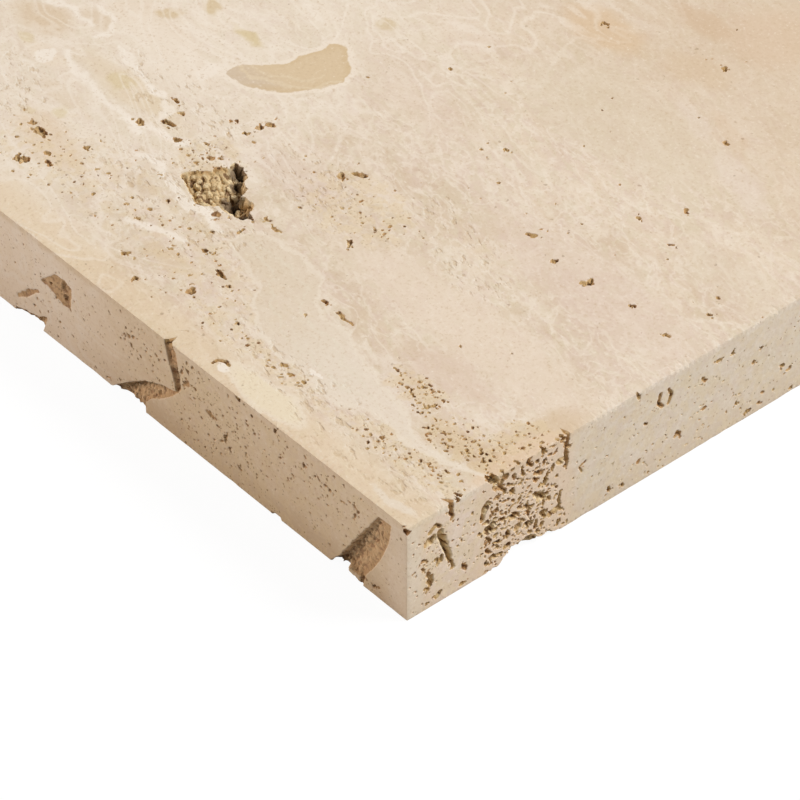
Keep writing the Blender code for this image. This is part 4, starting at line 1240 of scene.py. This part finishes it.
    def beside(self, line):
        """Distance in mm outside a thick line through (a, b, radius) points: negative inside it."""
        nearest = None
        for (a0, b0, r0), (a1, b1, r1) in zip(line, line[1:]):
            run = Vector((a1 - a0, b1 - b0))
            toward = run / run.length_squared
            # How far along the piece the nearest point of it lies, from 0 to 1
            begin = -toward.dot((a0, b0))
            share = self.add("ShaderNodeMath", {0: self.a, 1: toward.x, 2: begin}, operation="MULTIPLY_ADD")
            share = self.add("ShaderNodeMath", {0: self.b, 1: toward.y, 2: share}, operation="MULTIPLY_ADD")
            share = self.add("ShaderNodeClamp", {0: share})
            away = None
            for place, start, step in ((self.a, a0, run.x), (self.b, b0, run.y)):
                off = self.add("ShaderNodeMath", {0: share, 1: step, 2: start}, operation="MULTIPLY_ADD")
                off = self.add("ShaderNodeMath", {0: off, 1: place}, operation="SUBTRACT")
                away = self.add("ShaderNodeMath", {0: off, 1: off, 2: away or 0.0}, operation="MULTIPLY_ADD")
            away = self.add("ShaderNodeMath", {0: away}, operation="SQRT")
            radius = self.add("ShaderNodeMath", {0: share, 1: r1 - r0, 2: r0}, operation="MULTIPLY_ADD")
            away = self.add("ShaderNodeMath", {0: away, 1: radius}, operation="SUBTRACT")
            if nearest is not None:
                away = self.add("ShaderNodeMath", {0: nearest, 1: away}, operation="MINIMUM")
            nearest = away
        return nearest


# The corner that noise is counted from, far outside the tile
NOISE_START = (-700, -400, -300)
# Clouds of the stone are drawn out along its beds, which slant across the tile
BEDDED = (1.8, 1, 1)
BED_SLANT = math.radians(14)
# The stone's ground colour, and its pinkish, greenish grey and pale clouds
MATRIX = "#D4C0A6"
SHADES = ("#DBC7B6", "#DBCDB4", "#E8DAC7")

# How thickly pinholes lie along the front and the right face: (place, share)
FRONT_PINHOLES = (
    (0, 0.25), (10, 0.35), (20, 0.55), (48, 0.55), (56, 0.8), (84, 0.8), (90, 0.4), (120, 0.3), (160, 0.3),
)  # fmt: skip
RIGHT_PINHOLES = ((0, 0.7), (22, 0.7), (26, 0.2), (50, 0.2), (52, 0.4), (130, 0.4))

# Lines that bound the tongue of grey calcite in the top face, (a, b), and where it ends
TONGUE_TIP = 109.6
TONGUE_UPPER = (
    (0, 27.5), (3, 26.8), (10, 24), (22, 23.4), (26, 24), (30, 26.5), (34, 28), (44, 30), (50, 31), (56, 33),
    (62, 36.3), (68, 35.8), (73, 36.3), (77, 37.5), (79, 40), (83, 44), (88, 45), (93, 46.3), (98, 46),
    (105, 44.4), (109, 42), (110, 39),
)  # fmt: skip
TONGUE_LOWER = (
    (0, 26.5), (2, 26), (8, 23), (14, 20.5), (20, 19.5), (26, 19.3), (34, 20.5), (40, 19), (45, 17), (50, 16),
    (56, 17), (66, 17), (72, 17.5), (78, 20.5), (84, 24), (89, 27.5), (92, 30.8), (98, 32), (104, 33.5),
    (109, 35), (110, 39),
)  # fmt: skip
# The tan clast, and the growth arcs along its front side: (a, b, radius)
CLAST = ((151.5, 107.5, 2.6), (147.6, 99.0, 7.4), (150.0, 91.0, 6.6), (155.5, 84.5, 5.4), (161.0, 80.8, 3.0))
CLAST_ARCS = (
    (
        (163.5, 83.6, 0.2), (157.1, 82.6, 0.3), (151.6, 85.4, 0.35), (146.4, 88.6, 0.35), (142.6, 92.4, 0.3),
        (141.0, 99.0, 0.2),
    ),
    ((160.0, 86.0, 0.1), (154.4, 86.4, 0.2), (150.7, 89.2, 0.25), (147.2, 92.4, 0.2), (145.6, 96.4, 0.1)),
)  # fmt: skip

# Shades that lie in patches on the top: (a, b, length, width, turn), colour, strength
PATCHES = (
    ((45, 59, 104, 20, 0), "#E5D4C0", 0.65),
    ((186, 76, 56, 13, 12), "#E8D9C5", 0.7),
    ((200, 48.5, 16, 6, 0), "#EADBC6", 0.6),
    ((98, 77, 18, 8, 0), "#E8D9C6", 0.55),
    ((134, 136, 16, 10, 0), "#E6D6C4", 0.45),
    ((42, 148, 30, 9, 20), "#E3D4C5", 0.5),
    ((68, 157, 18, 6, 20), "#E3D4C5", 0.5),
    ((154, 50, 18, 3, 0), "#EBDCC9", 0.6),
    ((122, 38.6, 9, 3.4, 20), "#EFE3D2", 0.8),
    ((9, 4, 16, 2.4, 0), "#E8DCCB", 0.7),
    ((40, 32, 26, 6, 20), "#E6D8C8", 0.7),
    ((213, 58, 20, 12, -8), "#D6BF9F", 0.65),
    ((202, 68, 13, 6, 0), "#DAC6AB", 0.6),
    ((166, 56, 14, 9, 0), "#DBCAAD", 0.5),
    ((180, 72, 40, 14, 10), "#EFE4D4", 0.55),
    ((184, 41, 20, 6, 0), "#DCC9AF", 0.45),
    ((166, 77, 5, 9, 0), "#F2E8DA", 0.7),
    ((209, 50, 7, 3, 0), "#D9C79C", 0.5),
    ((184, 30, 4, 3, 0), "#D9C89E", 0.5),
    ((112, 166, 28, 14, 0), "#D9BE9C", 0.7),
    ((84, 172, 22, 12, -15), "#D6BFA1", 0.55),
    ((97, 188, 20, 9, 0), "#D0B698", 0.75),
    ((80, 197, 26, 26, 0), "#D8C0A5", 0.6),
    ((58, 160, 22, 4, 20), "#DAC4AA", 0.5),
    ((3, 42, 14, 34, 0), "#D4BC9C", 0.7),
    ((9, 30, 30, 9, -8), "#CBB08C", 0.55),
    ((36, 34, 16, 6, 10), "#D2BA98", 0.4),
    ((172, 56, 46, 10, 0), "#E2D0B3", 0.5),
    ((170, 27, 30, 12, 10), "#DEC7AA", 0.5),
    ((112, 20, 22, 6, 0), "#DAC5A5", 0.55),
    ((142, 33, 15, 6, 0), "#D6C2A9", 0.55),
    ((116, 65, 34, 14, 0), "#DAC6B5", 0.5),
    ((35, 44, 28, 11, 0), "#DAC4B1", 0.55),
    ((35, 92, 76, 22, 0), "#DDC9B8", 0.45),
    ((125, 112, 54, 18, 10), "#DDC9B6", 0.35),
    ((80, 142, 64, 30, 0), "#DBCCB4", 0.55),
    ((15, 120, 44, 16, 0), "#DBCBB4", 0.45),
    ((96, 38, 18, 9, 0), "#D5C5A9", 0.45),
    ((60, 25, 34, 11, 10), "#D9CCB7", 0.5),
    ((171.5, 93.2, 11, 4.4, 0), "#D6C396", 0.75),
    ((187, 94.6, 7, 5, 30), "#D4BE96", 0.75),
    ((192.4, 85.1, 5, 7, 30), "#D4BE98", 0.75),
    ((151, 124, 6, 5, 0), "#D4C09C", 0.7),
    ((178, 56, 9, 6, 0), "#D8C69C", 0.6),
    ((178, 36.5, 5, 6, 0), "#DBCBA4", 0.6),
    ((108, 40, 5, 3, 0), "#DCCFAE", 0.5),
)
# Where the beds of the top are rough: (a, b, length, width, turn)
RELIEF = (
    (45, 13, 120, 20, 4), (128, 36, 70, 34, 0), (112, 66, 44, 24, 20), (160, 62, 60, 26, 10),
    (70, 78, 60, 20, 20), (200, 32, 60, 26, 0),
)  # fmt: skip
# Dark patches on the floor of the deep hole, dark silt in its crevices with painted shadow over it: (a, b,
# length, width)
VUG_SILT_AND_SHADOW = (
    (122.5, 48.0, 6.0, 7.5), (130.3, 56.0, 4.5, 4.0), (127.5, 53.0, 3.0, 3.5), (115.0, 45.5, 5.5, 5.0),
)  # fmt: skip
# White calcite: (a, b, length, width, turn)
WHITE_SPOTS = ((72.9, 4.0, 4.4, 3.6, 0), (56, 19.4, 5.0, 2.0, 0), (199.6, 48.4, 6.0, 6.4, 0))
IVORY_SPOT = (58, 5.4, 26, 8, 3)
# Pale veins on the top: (a, b, radius)
VEINS = (
    ((218, 64.2, 0.3), (210, 66.2, 0.5), (202, 65.4, 0.3)),
    ((207, 71.4, 0.3), (200, 71.6, 0.5), (195.6, 67.0, 0.5), (197.4, 62.6, 0.3)),
    ((197, 53.4, 0.4), (190, 49.6, 0.6), (178, 48.6, 0.5), (168, 48.4, 0.5), (158, 45.6, 0.3)),
    ((172, 59.8, 0.3), (166, 60.6, 0.4), (160, 57.6, 0.4), (159, 53.0, 0.3)),
    ((190, 65.5, 0.3), (176, 61.0, 0.5), (166, 59.8, 0.3)),
    ((165, 46.0, 0.3), (156, 50.5, 0.7), (148, 50.6, 0.6), (146, 53.5, 0.3)),
    (
        (152, 40.5, 0.3), (147, 42.6, 0.8), (139, 40.6, 0.7), (130, 37.6, 0.7), (122, 38.4, 1.0),
        (112, 36.0, 0.3),
    ),
    ((133, 22.5, 0.4), (124, 25.4, 0.8), (116, 28.0, 0.3)),
)  # fmt: skip


def travertine():
    """Travertine: calcite laid down in beds by a spring, sawn, and honed on top without a polish.

    To the eye it is matt and pale, in soft clouds of beige, with dark pores strung along the beds.
    """
    material = bpy.data.materials.new("honed_travertine")
    material.use_nodes = True
    tree = material.node_tree
    shader = tree.nodes["Principled BSDF"]
    stone = Stone(tree)
    on_top = stone.on_top

    # Cloudy matrix, in clouds of three sizes
    colour = stone.coat(MATRIX, "#E3D2BC", stone.cloud(30, 2, 0.5, BEDDED), 0.4, 0.62)
    colour = stone.mottle(colour, 26.0, 0.6)
    colour = stone.mottle(colour, 8.0, 0.6)
    colour = stone.mottle(colour, 2.4, 0.6)
    # Faint pinkish spots and whitish flecks
    colour = stone.coat(colour, "#CDB59F", stone.cloud(2.9, 2, 0.5, BEDDED), 0.6, 0.74, 0.4)
    colour = stone.coat(colour, "#F2E8DB", stone.cloud(1.6, 2, 0.6, BEDDED), 0.6, 0.74, 0.35)
    # Milky edges of the clouds
    milky = stone.away_from(stone.cloud(7.0, 3, 0.6, BEDDED, 0.6), 0.52)
    colour = stone.coat(colour, "#EFE4D5", milky, 0.05, 0.0, 0.4)

    # Paler towards the far left, and creamy by the front edge
    colour = stone.coat(colour, "#F0E6D6", stone.a, 115.0, 165.0, 0.45, on_top)
    colour = stone.coat(colour, "#E2CCAA", stone.b, 15.0, 5.0, 0.55)
    colour = stone.coat(colour, "#D4BFA5", stone.b, 115.0, 185.0, 0.6, on_top)
    # The sawn sides: browner by the floor, and the front paler at the corner and far along it
    on_side = stone.add("ShaderNodeMath", {0: 1.0, 1: on_top}, operation="SUBTRACT")
    colour = stone.coat(colour, "#BFA582", stone.z, 12.0, 1.0, 0.45, on_side)
    colour = stone.coat(colour, "#DECDB9", stone.b, 45.0, 60.0, 0.42, on_side)
    on_front = stone.ramp(stone.b, 6.0, 3.0)
    on_front = stone.add("ShaderNodeMath", {0: on_front, 1: on_side}, operation="MULTIPLY")
    colour = stone.coat(colour, "#F0E2CF", stone.a, 95.0, 135.0, 0.9, on_front)
    colour = stone.coat(colour, "#EADCCB", stone.a, 11.0, 4.0, 0.4, on_front)
    on_right = stone.add("ShaderNodeMath", {0: on_side, 1: on_front}, operation="SUBTRACT")
    colour = stone.coat(colour, "#EDD4C0", stone.b, 60.0, 40.0, 0.45, on_right)
    for oval, shade, strength in PATCHES:
        colour = stone.coat(colour, shade, stone.patch(*oval), 1.3, 0.6, strength, on_top)

    # The sponge, stained through
    stained = stone.patch(0, 37, 11, 31)
    colour = stone.coat(colour, "#E3C9AC", stained, 1.15, 0.85, 0.6)

    # Porous beds, yellower than the compact stone between them
    beds = stone.cloud(11, 3, 0.6, BEDDED)
    share = stone.ramp(beds, 0.54, 0.72, 0.0, 0.3)
    for a_low, a_high, b_low, b_high, count, _, _ in SHOWN_PITS:
        length, width = a_high - a_low, b_high - b_low
        near = stone.patch((a_low + a_high) / 2, (b_low + b_high) / 2, length * 1.1, width * 1.2)
        thick = min(0.9, 9 * count / (length * width))
        bed = stone.ramp(near, 1.2, 0.6, 0.0, thick)
        bed = stone.add("ShaderNodeMath", {0: bed, 1: on_top}, operation="MULTIPLY")
        share = stone.add("ShaderNodeMath", {0: share, 1: bed}, operation="MAXIMUM")
    # The pinholes of the front and of the right face, along each
    for along, line, face in ((stone.a, FRONT_PINHOLES, on_front), (stone.b, RIGHT_PINHOLES, on_right)):
        holes = stone.curve(along, line, 0, 1)
        holes = stone.add("ShaderNodeMath", {0: holes, 1: face}, operation="MULTIPLY")
        share = stone.add("ShaderNodeMath", {0: share, 1: holes}, operation="MAXIMUM")
    patchy = stone.cloud(3.4, 2, 0.6)
    patchy = stone.ramp(patchy, 0.4, 0.6, 0.15)
    share = stone.add("ShaderNodeMath", {0: share, 1: patchy}, operation="MULTIPLY")
    colour = stone.coat(colour, "#E0CBA5", share, 0.12, 0.55, 0.4)

    # Growth lines: thin pale veins where the clouds pass one level
    layers = stone.cloud(24, 2, 0.45, BEDDED, 1.2)
    upper_left = stone.ramp(stone.a, 90.0, 130.0)
    for level in (0.45, 0.55):
        off = stone.away_from(layers, level)
        colour = stone.coat(colour, "#F2E8DA", off, 0.03, 0.002, 0.4, upper_left)
    for line in VEINS:
        colour = stone.coat(colour, "#F4EBDE", stone.beside(line), 1.2, -0.1, 0.7, on_top)

    # The tongue of grey calcite with its thin pale rim
    edges = []
    for line, side in ((TONGUE_UPPER, 1), (TONGUE_LOWER, -1)):
        height = stone.curve(stone.a, line, 0, 50)
        off = stone.add("ShaderNodeMath", {0: height, 1: stone.b}, operation="SUBTRACT")
        edges.append(stone.add("ShaderNodeMath", {0: off, 1: side}, operation="MULTIPLY"))
    inside = stone.add("ShaderNodeMath", {0: edges[0], 1: edges[1]}, operation="MINIMUM")
    left = stone.add("ShaderNodeMath", {0: TONGUE_TIP, 1: stone.a}, operation="SUBTRACT")
    inside = stone.add("ShaderNodeMath", {0: inside, 1: left}, operation="MINIMUM")
    calcite = stone.coat("#E8DCCB", "#DFD0BA", stone.a, 50.0, 85.0)
    colour = stone.coat(colour, calcite, inside, 0.0, 1.2, 0.7, on_top)
    compact = stone.ramp(inside, 0.5, -0.5, 0.12)
    share = stone.add("ShaderNodeMath", {0: share, 1: compact}, operation="MULTIPLY")
    colour = stone.coat(colour, "#EADECC", stone.away_from(inside, 0.5), 1.1, 0.3, 0.65, on_top)
    colour = stone.coat(colour, "#E3D8C4", stone.away_from(inside, 5.2), 0.7, 0.1, 0.5, on_top)

    # The tan clast, greyer at one end, with growth arcs along its front side
    away = stone.beside(CLAST)
    colour = stone.coat(colour, "#EEE2D1", stone.away_from(away, 0.7), 1.5, 0.5, 0.75, on_top)
    clast = stone.coat("#D8C2A0", "#D2BFA6", stone.b, 90.0, 80.0)
    compact = stone.ramp(away, -0.5, 1.0)
    share = stone.add("ShaderNodeMath", {0: share, 1: compact}, operation="MULTIPLY")
    clast = stone.coat(clast, "#CFB58C", away, -2.4, -0.6, 0.5, stone.ramp(stone.a, 158.0, 154.0))
    for line in CLAST_ARCS:
        clast = stone.coat(clast, "#DFCDAF", stone.beside(line), 0.7, -0.1, 0.7)
    colour = stone.coat(colour, clast, away, 0.3, -0.3, 0.95, on_top)

    ivory = stone.patch(*IVORY_SPOT)
    colour = stone.coat(colour, "#EFE4D2", ivory, 1.3, 1.05, 0.6, on_top)
    colour = stone.coat(colour, "#E9DBBF", ivory, 1.15, 0.75, 0.8, on_top)
    for oval in WHITE_SPOTS:
        colour = stone.coat(colour, "#F3EADD", stone.patch(*oval), 1.15, 0.8, 0.85, on_top)

    # Grain of single crystals, drawn as coarse as it shows
    grain = stone.cloud(0.9, 3, 0.7)
    colour = stone.coat(colour, "#C6AC89", grain, 0.52, 0.78, 0.6)
    colour = stone.coat(colour, "#F3EADC", grain, 0.44, 0.22, 0.55)

    # Pinholes too fine to carve, in rusty silt; the larger ones darker at the core, partly with painted shade
    rust = stone.coat("#A0845A", "#A8784E", stone.cloud(6, 2, 0.5), 0.5, 0.62)
    fine = stone.pores(0.85, share, 0.38, 2.2)
    soft = stone.ramp(on_top, 0.0, 1.0, 1.0, 0.5)
    colour = stone.coat(colour, rust, fine, 0.0, 0.8, 0.7, soft)
    coarse_share = stone.ramp(on_top, 0.0, 1.0, 0.15, 0.5)
    coarse_share = stone.add("ShaderNodeMath", {0: share, 1: coarse_share}, operation="MULTIPLY")
    coarse = stone.pores(1.6, coarse_share, 0.62, 5.7)
    # The dark core of the larger pinholes: dark silt and painted shade
    core_silt_and_shade = stone.coat(rust, "#6E4C24", coarse, 0.4, 1.0)
    colour = stone.coat(colour, core_silt_and_shade, coarse, 0.0, 0.45, 0.75, soft)

    # Shallow hollows of the beds, nearly as pale as the stone
    rough = None
    for oval in RELIEF:
        near = stone.ramp(stone.patch(*oval), 1.2, 0.5)
        if rough is not None:
            near = stone.add("ShaderNodeMath", {0: rough, 1: near}, operation="MAXIMUM")
        rough = near
    rough = stone.add("ShaderNodeMath", {0: rough, 1: on_top}, operation="MULTIPLY")
    relief = stone.ramp(stone.cloud(1.9, 2, 0.55, BEDDED), 0.52, 0.74)
    relief = stone.add("ShaderNodeMath", {0: relief, 1: rough}, operation="MULTIPLY")
    colour = stone.coat(colour, "#CBB18C", relief, 0.15, 0.85, 0.5)

    # Brown silt and yellow crystals in the hollows, with painted shade in narrow holes, between crystals and
    # on the deepest floors
    hollow = stone.add("ShaderNodeAttribute", attribute_name="hollow", out="Fac")
    crystal = stone.add("ShaderNodeAttribute", attribute_name="crystal", out="Fac")
    narrow = stone.add("ShaderNodeAttribute", attribute_name="narrow", out="Fac")
    broad = stone.add("ShaderNodeMath", {0: hollow, 1: narrow}, operation="SUBTRACT")
    silt_and_shade = stone.coat("#BC9A66", "#B08250", stone.cloud(5, 2, 0.5), 0.45, 0.6, 0.8)
    silt_and_shade = stone.coat(silt_and_shade, "#D2B688", broad, 0.4, 1.1)
    silt_and_shade = stone.coat(silt_and_shade, "#DEC698", stone.cloud(2.5, 2, 0.6), 0.5, 0.7, 0.6)
    silt_and_shade = stone.coat(silt_and_shade, "#EAD5AC", narrow, -0.1, -0.6, 0.75)
    # Darker between the crystals: dark silt, partly painted shade in the gaps
    silt_and_shade = stone.coat(silt_and_shade, "#6C4218", crystal, 0.5, 0.1, 0.8)
    silt_and_shade = stone.coat(silt_and_shade, "#C6A380", on_front, 0.0, 1.0, 0.5)
    silt_and_shade = stone.coat(silt_and_shade, "#7A5630", stone.cloud(1.2, 2, 0.6), 0.5, 0.66, 0.55, on_front)
    # Darker at the bottoms of narrow holes and on the deepest floors: dark silt, partly painted shade
    silt_and_shade = stone.coat(silt_and_shade, "#704414", narrow, 0.7, 2.2, 0.85)
    silt_and_shade = stone.coat(silt_and_shade, "#683C12", hollow, 3.6, 7.0, 0.75)
    # Painted shadow over the dark silt in the crevices of the deep hole
    for oval in VUG_SILT_AND_SHADOW:
        silt_and_shade = stone.coat(silt_and_shade, "#4A2A0C", stone.patch(*oval), 1.2, 0.7, 0.8)
    # The chip at the near corner is rusty
    silt_and_shade = stone.coat(silt_and_shade, "#A06A34", stone.patch(0, 0, 5, 5), 1.2, 0.8, 0.8)
    colour = stone.coat(colour, silt_and_shade, hollow, 0.03, 0.2, 0.95)
    tree.links.new(colour, shader.inputs["Base Color"])

    # Honed stone is dull, and its hollows duller
    shader.inputs["Roughness"].default_value = 0.62
    shader.inputs["IOR"].default_value = 1.49
    shader.inputs["Specular IOR Level"].default_value = 0.2
    sunken = stone.ramp(hollow, 0.1, 0.5, 0.04, 0.45)
    height = stone.add("ShaderNodeMath", {0: grain, 1: sunken}, operation="MULTIPLY")
    height = stone.add("ShaderNodeMath", {0: relief, 1: -0.34, 2: height}, operation="MULTIPLY_ADD")
    bump = stone.add("ShaderNodeBump", {"Height": height, "Distance": MM, "Strength": 0.8})
    tree.links.new(bump, shader.inputs["Normal"])
    return material


slab = carve_tile()
slab.data.materials.append(travertine())
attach(slab, "root")
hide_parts("travertine_tile")
white_floor()
white_world()
for name, settings in LAMPS.items():
    lamp(name, *settings)
set_camera()
bpy.context.scene.view_settings.view_transform = "Standard"
